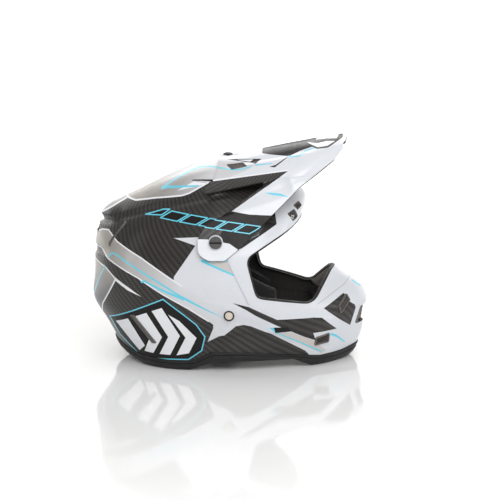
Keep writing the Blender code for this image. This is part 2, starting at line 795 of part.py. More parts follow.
def make_top_fixing():
    x = TOP_SCREW_X
    hood = PEAK_TREE.ray_cast(Vector((x, 0, 500)), Vector((0, 0, -1)))[0].z
    crown = SHELL_TREE.ray_cast(Vector((x, 0, 500)), Vector((0, 0, -1)))[0].z
    seat = hood + 0.1
    frame = axis_frame((x, 0, seat), (0, 0, 1))
    flat = TOP_SLOT_TRAVEL + TOP_SCREW_HEAD[0] + 0.5
    side = TOP_SCREW_HEAD[0] + 0.7
    recess = ((-flat, -side), (flat, -side), (flat, side), (-flat, side))
    add_cutter("top_recess", prism("top_recess", recess, hood - TOP_SEAT_DEPTH - seat, 9), frame, PEAK_CUTS)
    depth = seat - crown + SHELL_THICKNESS + 5
    turned("peak_screw_top", screw_profile(*TOP_SCREW_HEAD, depth), "screw_plastic", frame)
    add_cutter("top_hole", cylinder("top_hole", SCREW_SHANK_RADIUS + FIT_GAP, -40, 5), frame, SHELL_CUTS)
    reach = TOP_SLOT_TRAVEL + SCREW_SHANK_RADIUS + FIT_GAP
    half = SCREW_SHANK_RADIUS + FIT_GAP
    corner = half - 0.1
    slot = ((-reach, -half, corner), (reach, -half, corner), (reach, half, corner), (-reach, half, corner))
    add_cutter("top_slot", prism("top_slot", rounded_outline(slot, 4), -8, 8), frame, PEAK_CUTS)
    below = axis_frame((x, 0, crown - SHELL_THICKNESS - 1.4), (0, 0, 1))
    turned("peak_insert_top", insert_profile(7.0, 3.5), "brass_insert", below, closed=True)
    add_cutter("liner_pocket_top", cylinder("liner_pocket_top", 9.0, -5.5, 8), below, LINER_CUTS)


# ---- liners -------------------------------------------------------------------------------------
LINER_RIM = [np.array(v) for v in (4.45, 4.05, 3.95, 5.3, 6.3, 6.3, 6.3, 5.3, 3.95, 4.05)]
LINER_COUNTS = (2, 3, 4, 5, 3)
LINER_AROUND = steps_between(LINER_COUNTS + LINER_COUNTS[::-1])
LINER_ROWS = 9


def liner_rows(point_at, reach=1.0):
    """Rows of a dome from the crown to a share of the way to the liner's rim."""
    rows = [point_at(0.0, 0.0)]
    for k in range(1, LINER_ROWS + 1):
        share = reach * k / LINER_ROWS
        rows.append([point_at(t, share * float(on_closed_line(LINER_RIM, t))) for t in LINER_AROUND])
    return rows


def layer_point(depth):
    def point_at(t, v):
        return head_form(envelope(t, v) - HEAD_CENTRE, depth)
    return point_at


def make_liners():
    outside = liner_rows(lambda t, v: under_shell(t, v, SHELL_THICKNESS + LINER_GAP))
    inside = liner_rows(layer_point(OUTER_LINER_INNER_DEPTH))
    outer = add_object("outer_liner", dome_solid("outer_liner", outside, inside), "foam_black")
    cut_by_group(outer, LINER_CUTS)
    layers = (
        ("inner_liner", INNER_LINER_DEPTH, 0.98, "foam_grey"),
        ("crown_pad", COMFORT_DEPTH, 0.96, "lining_fabric"),
    )
    for name, (near, far), reach, material_name in layers:
        shape = dome_solid(name, liner_rows(layer_point(far), reach), liner_rows(layer_point(near), reach))
        add_object(name, shape, material_name)


def make_dampers():
    places = ((45, 22), (45, 68), (135, 22), (135, 68), (225, 22), (225, 68), (315, 22), (315, 68))
    inner = INNER_LINER_DEPTH[1] + DAMPER_CLEARANCE[0]
    outer = OUTER_LINER_INNER_DEPTH - DAMPER_CLEARANCE[1]
    for index, (heading, climb) in enumerate(places, 1):
        around, up = math.radians(heading), math.radians(climb)
        level = math.cos(up)
        direction = np.array((level * math.cos(around), level * math.sin(around), math.sin(up)))
        low = head_form(direction, inner)
        normal = HEAD_AXES.T @ (HEAD_AXES @ (low - HEAD_CENTRE) / (HEAD_RADII + inner) ** 2)
        normal /= np.linalg.norm(normal)
        height = outer - inner - 0.3
        frame = axis_frame(low + normal * 0.35, normal)
        waist = DAMPER_RADIUS * 0.72
        profile = ((0, height), (DAMPER_RADIUS, height), (waist, height / 2), (DAMPER_RADIUS, 0), (0, 0))
        turned(f"liner_damper_{index}", profile, "damper_rubber", frame, steps=12)


# ---- chin bar, cheeks and neck ------------------------------------------------------------------
def radial_slab(name, t_values, v_values, depth, thickness, material_name):
    """Pad behind the shell wall, with its inner face moved level towards the helmet's middle."""
    outer = [[under_shell(t, v, depth) for t in t_values] for v in v_values]
    inner = []
    for row in outer:
        moved = []
        for p in row:
            towards = np.array((HEAD_CENTRE[0] - p[0], -p[1], 0.0))
            moved.append(p + towards / np.linalg.norm(towards) * thickness)
        inner.append(moved)
    return add_object(name, slab(name, outer, inner), material_name)


def make_chin_foam():
    t_values = [k * 0.2 - 1.6 for k in range(17)]
    v_values = [7.5, 7.9, 8.3, 8.65, 9.0, 9.3]
    foam = radial_slab("chin_bar_foam", t_values, v_values, 8, 10, "foam_black")
    clear = rounded_outline(((-35, 39, 3), (35, 39, 3), (30, 75, 3), (-30, 75, 3)), 2)
    cut_by(foam, add_cutter("foam_vent", prism("foam_vent", clear, 100, 200), FRONT_VIEW))


def make_neck_roll():
    t_values = [3.8 + k * 0.2 for k in range(13)]
    radial_slab("neck_roll", t_values, [6.75, 7.3, 7.9, 8.5, 9.1, 9.6], 5.5, 20, "lining_fabric")


def cheek_top(x):
    """Upper edge of the cheek parts: level at the ear, down under the eyeport and down to the neck."""
    return 111.0 - max(0.0, x + 5.0) * 0.54 - max(0.0, -25.0 - x) * 0.25


STRAP_CHANNEL = ((-22, 5), (32, 5), (32, 65), (16, 93), (-8, 93), (-22, 75))


def make_cheeks():
    columns = [-58, -42, -26, -8, 10, 24, 36, 44, 52]
    shares = [0, 0.25, 0.5, 0.75, 1]
    bottom = 36.0
    for name, side in SIDES:
        outer, inner = [], []
        for share in shares:
            heights = [bottom + (cheek_top(x) - bottom) * share for x in columns]
            places = list(zip(columns, heights))
            outer.append([(x, side * (shell_width(x, z) - SHELL_THICKNESS - 1.6), z) for x, z in places])
            inner.append([(x, side * CHEEK_FOAM_FACE, z) for x, z in places])
        foam = add_object(f"cheek_foam_{name}", slab(f"cheek_foam_{name}", outer, inner), "foam_black")
        channel = prism(f"strap_channel_{name}", STRAP_CHANNEL, -140, 140)
        cut_by(foam, add_cutter(f"strap_channel_{name}", channel, SIDE_VIEW))
        make_cheek_pad(name, side)


def make_cheek_pad(name, side):
    columns = [-60, -45, -28, -10, 8, 26, 42, 54, 63]
    bottom = 32.0
    outer, inner = [], []
    for share in (0, 0.14, 0.32, 0.5, 0.68, 0.86, 1):
        row_outer, row_inner = [], []
        for i, x in enumerate(columns):
            z = bottom + (cheek_top(x) - 3 - bottom) * share
            end = min(i, len(columns) - 1 - i, 2) / 2
            rise = math.sin(math.pi * share) ** 0.5 if 0 < share < 1 else 0.0
            crest = CHEEK_PAD_FACES[1] + 9 * (1 - end * rise)
            row_outer.append((x, side * CHEEK_PAD_FACES[0], z))
            row_inner.append((x, side * crest, z))
        outer.append(row_outer)
        inner.append(row_inner)
    add_object(f"cheek_pad_{name}", slab(f"cheek_pad_{name}", outer, inner), "lining_fabric")


# ---- chin strap ---------------------------------------------------------------------------------
def strap_anchor():
    return shell_width(*RIVET) - SHELL_THICKNESS - 5.0


def strap_path(side, end):
    """Centre line of the fastened strap in the Y-Z plane, from one rivet to the given y."""
    top = strap_anchor()
    x, z = RIVET
    controls = [
        (top, z + 10), (top - 2.6, z - 13), (95.5, 41), (88.5, 24), (62, 14.5), (30, 10.5), (0, 9.5),
        (-30, 10.5), (-62, 14.5), (-88.5, 24),
    ]
    line = [np.array(c, float) for c in controls]
    dense = [on_open_line(line, k * 0.25) for k in range(4 * (len(line) - 1) + 1)]
    kept = [p for p in dense if p[0] >= end]
    return [Vector((side * p[0], p[1])) for p in kept]


def ribbon(name, path, lift, thickness, width, material_name):
    """Flat band: the path's two edges in the Y-Z plane, extruded along X about the rivet."""
    left, right = [], []
    for i, p in enumerate(path):
        ahead = path[min(i + 1, len(path) - 1)] - path[max(i - 1, 0)]
        normal = Vector((-ahead.y, ahead.x)).normalized()
        left.append(p + normal * (lift + thickness / 2))
        right.append(p + normal * (lift - thickness / 2))
    outline = left + right[::-1]
    mesh = prism(name, outline, RIVET[0] - width / 2, RIVET[0] + width / 2)
    return add_object(name, mesh, material_name, FRONT_VIEW)


def band_around(name, path, half_width, half_height, hole_width, hole_height, lift, material_name):
    """Tube of rectangular section along a path in the Y-Z plane, with a rectangular hole through it."""
    def loops(wide, high):
        rows = []
        for i, p in enumerate(path):
            ahead = path[min(i + 1, len(path) - 1)] - path[max(i - 1, 0)]
            normal = Vector((-ahead.y, ahead.x)).normalized()
            middle = p + normal * lift
            rows.append([
                (RIVET[0] + u * wide, middle.x + normal.x * w * high, middle.y + normal.y * w * high)
                for u, w in ((-1, -1), (1, -1), (1, 1), (-1, 1))
            ])
        return rows
    outer = loops(half_width, half_height)
    inner = loops(hole_width, hole_height)
    return add_object(name, slab(name, outer, inner, closed_rows=True), material_name)


def make_strap():
    right = strap_path(-1, 24)
    left = strap_path(1, -72)
    ribbons = (
        ribbon("chin_strap_right", right, 1.0, STRAP_THICKNESS, STRAP_WIDTH, "webbing"),
        ribbon("chin_strap_left", left, 1.0, STRAP_THICKNESS, STRAP_WIDTH, "webbing"),
    )
    eye = cylinder("rivet_eye", 3.0, -140, 140)
    eye_cutter = add_cutter("rivet_eye", eye, axis_frame((RIVET[0], 0, RIVET[1]), (0, 1, 0)))
    for band in ribbons:
        cut_by(band, eye_cutter)
    for index, y in enumerate((-38.0, -45.0), 1):
        near = [p for p in strap_path(1, -58) if y - 4 < p.x < y + 4]
        centre = min(near, key=lambda p: abs(p.x - y))
        tilt = Vector((0.16, 1)).normalized()
        run = [centre + Vector((tilt.y, tilt.x)) * k * -1.2 for k in (-1, 1)]
        band_around(f"d_ring_{index}", run, 17.5, 6.0, 14.5, 3.2, 0.0, "steel")
    sleeve = [p for p in strap_path(1, -24) if p.x < 46]
    band_around("strap_sleeve", sleeve, 18, 4.6, 13.2, 1.6, 1.0, "lining_fabric")
    end = left[-2]
    snap = axis_frame((RIVET[0], end.x, end.y - 3.6), (0, 0, -1))
    turned("strap_snap", ((0, 2.4), (4.5, 2.4), (6, 1.2), (6, 0), (0, 0)), "steel", snap, steps=16)


def make_rivets():
    x, z = RIVET
    outside = shell_width(x, z)
    anchor = strap_anchor()
    shank = 2.6
    for name, side in SIDES:
        frame = axis_frame((x, side * (outside + RIVET_LIFT), z), (0, side, 0))
        inner_head = -(outside + RIVET_LIFT - anchor) - STRAP_THICKNESS / 2 - 3.0
        wide = RIVET_HEAD_RADIUS
        profile = (
            (0, 1.8), (wide - 1.5, 1.8), (wide, 0.6), (wide, 0), (shank, 0), (shank, inner_head),
            (wide - 1, inner_head), (wide - 1, inner_head - 1.6), (0, inner_head - 1.6),
        )
        turned(f"strap_rivet_{name}", profile, "rivet_enamel", frame, steps=20)
        hole = cylinder(f"rivet_hole_{name}", shank + FIT_GAP, -20, 10)
        add_cutter(f"rivet_hole_{name}", hole, frame, SHELL_CUTS)


# ---- assembly -----------------------------------------------------------------------------------
outer_shell = make_shell()
make_base_trim()
make_eyeport_trim()
make_vents()
make_mouth_vent()
peak = make_peak()
make_peak_meshes()
make_peak_fixings()
make_liners()
make_dampers()
make_chin_foam()
make_neck_roll()
make_cheeks()
make_strap()
make_rivets()
cut_by_group(outer_shell, SHELL_CUTS)
cut_by_group(peak, PEAK_CUTS)
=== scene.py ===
import json
import math

import bmesh
import bpy
import numpy as np
from mathutils import Matrix, Vector
from mathutils.bvhtree import BVHTree
from mathutils.geometry import interpolate_bezier

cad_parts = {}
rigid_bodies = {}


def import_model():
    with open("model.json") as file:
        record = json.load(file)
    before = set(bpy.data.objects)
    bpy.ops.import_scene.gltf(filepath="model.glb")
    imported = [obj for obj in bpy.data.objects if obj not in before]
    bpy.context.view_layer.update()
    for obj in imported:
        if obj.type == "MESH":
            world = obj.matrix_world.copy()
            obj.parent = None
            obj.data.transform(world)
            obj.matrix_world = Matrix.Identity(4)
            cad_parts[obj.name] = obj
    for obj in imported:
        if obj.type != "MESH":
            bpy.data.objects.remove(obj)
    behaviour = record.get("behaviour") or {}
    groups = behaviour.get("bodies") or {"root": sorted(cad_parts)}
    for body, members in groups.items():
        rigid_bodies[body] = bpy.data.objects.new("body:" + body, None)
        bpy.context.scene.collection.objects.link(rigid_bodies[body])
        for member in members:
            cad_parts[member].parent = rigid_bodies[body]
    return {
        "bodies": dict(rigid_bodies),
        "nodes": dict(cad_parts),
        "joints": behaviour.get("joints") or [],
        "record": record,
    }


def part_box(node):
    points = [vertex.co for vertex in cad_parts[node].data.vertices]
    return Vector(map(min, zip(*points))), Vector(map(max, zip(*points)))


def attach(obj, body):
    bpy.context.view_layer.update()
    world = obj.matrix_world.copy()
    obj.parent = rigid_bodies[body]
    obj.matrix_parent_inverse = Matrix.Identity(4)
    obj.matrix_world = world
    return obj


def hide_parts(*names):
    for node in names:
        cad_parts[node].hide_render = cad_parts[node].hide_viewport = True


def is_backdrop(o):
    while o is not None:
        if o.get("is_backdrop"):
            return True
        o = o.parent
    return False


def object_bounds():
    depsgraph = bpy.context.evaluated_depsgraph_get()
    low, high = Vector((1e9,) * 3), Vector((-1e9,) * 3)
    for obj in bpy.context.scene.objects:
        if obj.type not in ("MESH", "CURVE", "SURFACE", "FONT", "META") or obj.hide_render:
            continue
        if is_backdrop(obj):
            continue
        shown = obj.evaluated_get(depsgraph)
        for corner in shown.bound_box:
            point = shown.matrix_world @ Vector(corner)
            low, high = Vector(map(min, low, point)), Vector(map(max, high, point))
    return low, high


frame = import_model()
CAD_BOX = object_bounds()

MM = 0.001
SIDES = (("right", -1), ("left", 1))
SCENE = bpy.context.scene

# ---- helmet surfaces, in millimetres -------------------------------------------------------------
CROWN = (-20.0, 0.0, 259.0)
RINGS = (
    ((32, 0, 253.5), (24, 28, 251.5), (6, 46, 248.5), (-22, 54, 246.5), (-56, 40, 242), (-72, 0, 239.5)),
    ((70, 0, 238), (61, 38, 233), (38, 68, 225), (-15, 84, 221), (-84, 60, 215), (-112, 0, 219)),
    ((92, 0, 223), (83, 46, 214), (56, 80, 202), (-13, 102, 196), (-108, 74, 189), (-146, 0, 201)),
    ((100, 0, 208), (91, 54, 198), (62, 93, 181), (-12, 113, 168), (-121, 85, 163), (-168, 0, 177)),
    ((94, 0, 186), (88, 58, 175), (65, 101, 155), (-10, 121, 141), (-127, 90, 135), (-174, 0, 147)),
    ((114, 0, 153), (104, 62, 140), (74, 103, 123), (-8, 123, 113), (-128, 91, 105), (-175, 0, 113)),
    ((136, 0, 120), (124, 46, 103), (88, 95, 90), (-5, 118, 84), (-125, 88, 77), (-177, 0, 79)),
    ((175.5, 0, 88), (151, 48, 77), (97, 89, 62), (0, 111, 57), (-117, 84, 52), (-160, 0, 50)),
    ((175, 0, 43), (148, 47, 39), (97, 82, 34), (3, 104, 32), (-106, 82, 30), (-151, 0, 33)),
    ((168, 0, 18), (142, 42, 13), (98, 72, 10), (3, 98, 13), (-92, 80, 8), (-148, 0, 24)),
    ((157, 0, -2), (132, 36, -5), (95, 63, -8), (3, 90, -6), (-86, 73, -8), (-138, 0, 4)),
)
TRIM_TOP = (
    (-150, 27), (-128, 19), (-106, 14.5), (-64, 12), (-38, 14), (-18, 25), (25, 24.5), (88, 18),
    (118, 13.5), (145, 15), (170, 20),
)
TRIM_BOTTOM = (
    (-150, 17), (-129, 7.5), (-104, 0), (-46, 0), (-22, 9), (-14, 11.5), (84, 12), (96, 6),
    (107, 0), (140, 0), (153, 1.5), (170, 7),
)
EYEPORT = (
    (26, 147, 12), (39, 97, 10), (109, 84, 16), (135, 120, 10),
    (230, 121, 0), (230, 186, 0), (92, 186, 8),
)
PEAK_LINES = (
    ((-14, 0, 261.9), (8, 0, 262.7), (28, 0, 266.8), (62, 0, 274), (98, 0, 281), (130, 0, 287), (152, 0, 290)),
    ((-14, 30, 260.4), (8, 31, 261.3), (28, 32, 264.8), (62, 33, 271), (98, 32, 278), (128, 27, 284.5),
     (151.5, 18, 289)),
    ((-22, 73, 239), (4, 76, 242), (28, 78, 245), (62, 80, 250), (96, 74, 261), (125, 56, 274.5), (149, 35, 285)),
    ((-38, 101, 211), (4, 104, 209), (28, 102, 214), (62, 99, 222), (93, 88, 243), (127, 67, 267),
     (146, 44, 282)),
    ((-42, 127, 141), (0, 127, 139), (26, 121, 159), (60, 112, 191), (90, 97, 228), (129, 75, 259),
     (146, 52, 273)),
)
PEAK_OUTLINE = (
    (-12, 295, 0), (-12, 251, 0), (-15, 239, 3), (-33, 222, 3), (58, 241, 3), (26, 219, 0), (7, 206, 0),
    (-5, 197, 6), (-22, 189, 6), (-33, 171, 8), (-33, 153, 12), (-20, 145, 12), (0, 145, 8), (20, 161, 6),
    (53, 195, 0), (92, 233, 0), (134, 264, 0), (149, 279, 4), (158, 295, 0),
)
PIVOT = (-11.0, 167.0)
RIVET = (5.0, 75.0)


def weights(f):
    return (
        0.5 * (-f + 2 * f * f - f ** 3),
        0.5 * (2 - 5 * f * f + 3 * f ** 3),
        0.5 * (f + 4 * f * f - 3 * f ** 3),
        0.5 * (-f * f + f ** 3),
    )


def whole_ring(half):
    half = np.array(half, float)
    return np.vstack((half, half[1:-1][::-1] * (1, -1, 1)))


RING_NET = np.array([whole_ring(half) for half in RINGS])
SHELL_NET = np.concatenate((
    np.roll(RING_NET[:1], 5, axis=1), np.full((1, 10, 3), CROWN), RING_NET, 2 * RING_NET[-1:] - RING_NET[-2:-1],
))
half_peak = np.array(PEAK_LINES, float)
half_peak = np.concatenate((2 * half_peak[:, :1] - half_peak[:, 1:2], half_peak,
                            2 * half_peak[:, -1:] - half_peak[:, -2:-1]), axis=1)
PEAK_NET = np.concatenate((half_peak[1:2] * (1, -1, 1), half_peak, 2 * half_peak[-1:] - half_peak[-2:-1]))


def shell_surface(t, v):
    """Outer surface: t runs 0 to 10 round from the front, v runs 0 to 11 down from the crown."""
    first_t, first_v = np.floor(t).astype(int), np.clip(np.floor(v).astype(int), 0, 10)
    around, down = weights(t - first_t), weights(v - first_v)
    total = 0.0
    for a in range(4):
        for b in range(4):
            total = total + (down[a] * around[b])[..., None] * SHELL_NET[first_v + a, (first_t + b - 1) % 10]
    return total


def peak_surface(s, c):
    """Peak: s runs 0 to 6 from its rear edge to its tip, c runs -4 to 4 across from hem to hem."""
    side = np.where(c < 0, -1.0, 1.0)
    first_s, first_c = np.clip(np.floor(s).astype(int), 0, 5), np.clip(np.floor(abs(c)).astype(int), 0, 3)
    along, across = weights(s - first_s), weights(abs(c) - first_c)
    total = 0.0
    for a in range(4):
        for b in range(4):
            total = total + (across[a] * along[b])[..., None] * PEAK_NET[first_c + a, first_s + b]
    return total * np.stack((np.ones_like(side), side, np.ones_like(side)), axis=-1)


def normals_of(surface, a, b, flip):
    step = 0.01
    first = surface(a + step, b) - surface(a - step, b)
    second = surface(a, b + step) - surface(a, np.maximum(b - step, -4.0))
    normal = np.cross(first, second) * flip
    return normal / np.maximum(np.linalg.norm(normal, axis=-1, keepdims=True), 1e-9)


# ---- sheets: triangle meshes that can be scored and cut along outlines ---------------------------
class Sheet:
    """Points carry x, y, z, then normal, then two surface lengths; triangles index them."""

    def __init__(self, points, normals, lengths, faces):
        self.v = np.concatenate((points, normals, lengths), axis=1)
        self.f = np.array(faces)

    def keep(self, wanted):
        self.f = self.f[wanted]

    def centres(self):
        return self.v[self.f].mean(axis=1)

    def score(self, flat, outline, closed=True, mask=None, reach=2.5):
        """Splits triangles along an outline given in the two coordinates that flat() returns."""
        points = [np.array(p[:2], float) for p in outline]
        ends = points[1:] + (points[:1] if closed else [])
        for start, end in zip(points, ends):
            length = np.linalg.norm(end - start)
            if length > 1e-6:
                self.split(flat, start, (end - start) / length, length, mask, reach)

    def split(self, flat, start, along, length, mask, reach):
        local = flat(self.v) - start
        s = local @ along
        d = local @ np.array((-along[1], along[0]))
        d[abs(d) < 0.02] = 0.0
        near = (abs(d) < 7) & (s > -reach - 7) & (s < length + reach + 7)
        if mask is not None:
            near &= mask(self.v)
        touched = near[self.f].any(axis=1)
        tri = self.f[touched]
        low, high = np.minimum(tri, np.roll(tri, -1, 1)), np.maximum(tri, np.roll(tri, -1, 1))
        cross = (d[low] * d[high] < 0) & near[low] & near[high]
        share = d[low] / np.where(cross, d[low] - d[high], 1.0)
        at = s[low] + (s[high] - s[low]) * share
        cross &= (at > -reach) & (at < length + reach)
        if not cross.any():
            return
        count = len(self.v)
        keys, back = np.unique(low[cross].astype(np.int64) * count + high[cross], return_inverse=True)
        first, second = keys // count, keys % count
        share = (d[first] / (d[first] - d[second]))[:, None]
        self.v = np.vstack((self.v, self.v[first] + (self.v[second] - self.v[first]) * share))
        fresh = np.full(tri.shape, -1)
        fresh[cross] = count + back
        number = cross.sum(axis=1)
        made = [self.f[~touched], tri[number == 0]]
        for k in range(3):
            j, i = (k + 1) % 3, (k + 2) % 3
            one = cross[:, k] & (number == 1)
            a, b, c, n = tri[one, k], tri[one, j], tri[one, i], fresh[one, k]
            made += [np.stack((a, n, c), 1), np.stack((n, b, c), 1)]
            two = cross[:, k] & cross[:, j] & (number == 2)
            a, b, c, n, m = tri[two, k], tri[two, j], tri[two, i], fresh[two, k], fresh[two, j]
            made += [np.stack((n, b, m), 1), np.stack((a, n, m), 1), np.stack((a, m, c), 1)]
        self.f = np.vstack(made)

    def boundary(self):
        """Directed edges used by one triangle only."""
        pairs = np.concatenate((self.f[:, (0, 1)], self.f[:, (1, 2)], self.f[:, (2, 0)]))
        keys = np.sort(pairs, axis=1)
        _, index, number = np.unique(keys, axis=0, return_index=True, return_counts=True)
        return pairs[index[number == 1]]

    def loops(self):
        """Boundary edges chained into loops of vertex numbers, longest first."""
        onward = {}
        for a, b in self.boundary():
            onward.setdefault(int(a), []).append(int(b))
        found = []
        while onward:
            start = next(iter(onward))
            loop, at = [start], start
            while at in onward:
                step = onward[at].pop()
                if not onward[at]:
                    del onward[at]
                if step == start:
                    break
                loop.append(step)
                at = step
            found.append(loop)
        return sorted(found, key=len, reverse=True)


def inside(points, outline):
    """True where a 2-D point is inside the polygon."""
    x, z = points[:, 0], points[:, 1]
    result = np.zeros(len(points), bool)
    corners = [p[:2] for p in outline]
    for (ax, az), (bx, bz) in zip(corners, corners[1:] + corners[:1]):
        if az != bz:
            result ^= ((az > z) != (bz > z)) & (x < (bx - ax) * (z - az) / (bz - az) + ax)
    return result


def rounded(corners, steps=5):
    """Polygon through (u, w, radius) corners, each corner with a radius turned into an arc."""
    outline = []
    for i, (u, w, radius) in enumerate(corners):
        corner = Vector((u, w))
        if radius <= 0:
            outline.append(tuple(corner))
            continue
        before = (Vector(corners[i - 1][:2]) - corner).normalized()
        after = (Vector(corners[(i + 1) % len(corners)][:2]) - corner).normalized()
        half = before.angle(after) / 2
        centre = corner + (before + after).normalized() * (radius / math.sin(half))
        start = corner + before * (radius / math.tan(half)) - centre
        sweep = start.angle_signed(corner + after * (radius / math.tan(half)) - centre)
        for k in range(steps + 1):
            spoke = start.copy()
            spoke.rotate(Matrix.Rotation(-sweep * k / steps, 2))
            outline.append(tuple(centre + spoke))
    return outline


def stripe(line, width, end_width=None):
    """Outline of a stripe along a polyline, tapering from width to end_width."""
    end_width = width if end_width is None else end_width
    points = [np.array(p, float) for p in line]
    total = sum(np.linalg.norm(b - a) for a, b in zip(points, points[1:]))
    run, left, right = 0.0, [], []
    for i, p in enumerate(points):
        if i:
            run += np.linalg.norm(p - points[i - 1])
        before = points[i] - points[max(i - 1, 0)]
        after = points[min(i + 1, len(points) - 1)] - points[i]
        tangents = [t / np.linalg.norm(t) for t in (before, after) if np.linalg.norm(t) > 1e-6]
        mean = sum(tangents) / np.linalg.norm(sum(tangents))
        normal = np.array((-mean[1], mean[0]))
        half = (width + (end_width - width) * run / total) / 2 / max(float(mean @ tangents[0]), 0.6)
        left.append(tuple(p + normal * half))
        right.append(tuple(p - normal * half))
    return left + right[::-1]


def ring_stripe(outline, width):
    """A closed band along a polygon, as separate stripes with overlapping ends."""
    points = [np.array(p[:2], float) for p in outline]
    made = []
    for a, b in zip(points, points[1:] + points[:1]):
        along = (b - a) / np.linalg.norm(b - a) * width / 2
        made.append(stripe((a - along, b + along), width))
    return made


def side_view(v):
    return v[:, (0, 2)]


def frame_view(frame):
    """Flattening into a frame's local X and Y, and the mask of what is near its plane."""
    turn = np.array(frame.to_3x3())
    origin = np.array(frame.translation) / MM

    def flat(v):
        return (v[:, :3] - origin) @ turn[:, :2]

    def near(v):
        local = (v[:, :3] - origin) @ turn
        return (abs(local[:, 2]) < 14) & (np.hypot(local[:, 0], local[:, 1]) < 60)
    return flat, near


# ---- node materials ------------------------------------------------------------------------------
class Shader:
    """Builds a Principled material with procedural inputs."""

    def __init__(self, name, **sockets):
        self.material = bpy.data.materials.new(name)
        self.material.use_nodes = True
        self.tree = self.material.node_tree
        self.surface = self.tree.nodes["Principled BSDF"]
        for key, value in sockets.items():
            self.surface.inputs[key.replace("_", " ")].default_value = value

    def node(self, kind, *feeds, **settings):
        made = self.tree.nodes.new("ShaderNode" + kind)
        for key, value in settings.items():
            setattr(made, key, value)
        for index, feed in enumerate(feeds):
            self.feed(made.inputs[index], feed)
        return made

    def feed(self, socket, value):
        if value is None:
            return
        if isinstance(value, bpy.types.Node):
            value = value.outputs[0]
        if isinstance(value, bpy.types.NodeSocket):
            self.tree.links.new(value, socket)
        else:
            socket.default_value = value

    def math(self, operation, *feeds):
        return self.node("Math", *feeds, operation=operation)

    def position(self):
        return self.node("TexCoord").outputs["Object"]

    def axes(self, source=None):
        return self.node("SeparateXYZ", source if source is not None else self.position())

    def span(self, source, low, high, out_low=0.0, out_high=1.0):
        made = self.node("MapRange", source)
        for index, value in enumerate((low, high, out_low, out_high), 1):
            made.inputs[index].default_value = value
        return made.outputs[0]

    def noise(self, scale, detail=3.0, source=None):
        made = self.node("TexNoise")
        made.inputs["Scale"].default_value = scale
        made.inputs["Detail"].default_value = detail
        self.feed(made.inputs["Vector"], source if source is not None else self.position())
        return made.outputs[0]

    def mix(self, share, first, second, blend="MIX"):
        made = self.node("Mix", data_type="RGBA", blend_type=blend)
        self.feed(made.inputs[0], share)
        self.feed(made.inputs[6], (*first, 1.0) if isinstance(first, tuple) else first)
        self.feed(made.inputs[7], (*second, 1.0) if isinstance(second, tuple) else second)
        return made.outputs[2]

    def bump(self, height, distance, strength=1.0):
        made = self.node("Bump")
        made.inputs["Strength"].default_value = strength
        made.inputs["Distance"].default_value = distance
        self.feed(made.inputs["Height"], height)
        self.feed(self.surface.inputs["Normal"], made)

    def set(self, socket, value):
        self.feed(self.surface.inputs[socket], value)
        return self


def lacquer(name, colour, spread=0.03, roughness=0.32, coat=0.35, level=0.35):
    """Painted panel under clear coat: faint mottling, orange peel and dust."""
    made = Shader(name, Roughness=roughness, Coat_Weight=coat, Coat_Roughness=0.12, Specular_IOR_Level=level)
    mottle = made.span(made.noise(38.0, 5.0), 0.3, 0.7)
    darker = tuple(c * (1 - spread) for c in colour)
    made.set("Base Color", made.mix(mottle, darker, colour))
    made.set("Roughness", made.span(made.noise(150.0), 0.3, 0.7, roughness - 0.05, roughness + 0.08))
    made.bump(made.noise(420.0, 2.0), 0.00004, 0.35)
    return made


def carbon(name, dark=(0.0088, 0.0082, 0.008), light=(0.046, 0.0415, 0.038)):
    """Two-by-two twill under satin lacquer, laid along the surface lengths."""
    made = Shader(name, Coat_Weight=0.25, Coat_Roughness=0.18, Specular_IOR_Level=0.3)
    lengths = made.axes(made.node("UVMap").outputs[0])
    tow = 0.0024
    u = made.math("DIVIDE", lengths.outputs[0], tow)
    w = made.math("DIVIDE", lengths.outputs[1], tow)
    cell = made.math("SUBTRACT", made.math("FLOOR", u), made.math("FLOOR", w))
    over = made.math("LESS_THAN", made.math("FLOORED_MODULO", cell, 4.0), 1.5)
    across_u = made.math("SINE", made.math("MULTIPLY", made.math("FRACT", u), math.pi))
    across_w = made.math("SINE", made.math("MULTIPLY", made.math("FRACT", w), math.pi))
    crest = made.node("Mix", over, data_type="FLOAT")
    made.feed(crest.inputs[2], across_u)
    made.feed(crest.inputs[3], across_w)
    diagonal = made.math("SINE", made.math("MULTIPLY", made.math("SUBTRACT", u, w), math.pi / 2))
    sheen = made.math("ADD", made.math("MULTIPLY", over, 0.62), made.math("MULTIPLY", crest.outputs[0], 0.38))
    sheen = made.math("MULTIPLY", sheen, made.span(diagonal, -1, 1, 0.75, 1.0))
    cloud = made.span(made.noise(26.0), 0.35, 0.65, 0.8, 1.1)
    made.set("Base Color", made.mix(made.math("MULTIPLY", sheen, cloud), dark, light))
    made.set("Roughness", made.span(sheen, 0.0, 1.0, 0.5, 0.3))
    made.bump(crest.outputs[0], 0.00006, 0.4)
    return made


def gradient(name, first, second, axis, low, high):
    """Metallic paint that fades from one colour to another along an axis, in metres."""
    made = Shader(name, Metallic=0.2, Coat_Weight=0.3, Coat_Roughness=0.14, Specular_IOR_Level=0.35)
    share = made.span(made.axes().outputs[axis], low, high)
    share = made.math("ADD", share, made.span(made.noise(60.0), 0.3, 0.7, -0.04, 0.04))
    colour = made.mix(share, first, second)
    flake = made.span(made.noise(5200.0, 1.0), 0.35, 0.65, 0.93, 1.05)
    grey = made.node("CombineXYZ", flake, flake, flake)
    made.set("Base Color", made.mix(1.0, colour, grey.outputs[0], "MULTIPLY"))
    made.set("Roughness", made.span(made.noise(170.0), 0.3, 0.7, 0.30, 0.42))
    made.bump(made.noise(420.0, 2.0), 0.00004, 0.35)
    return made


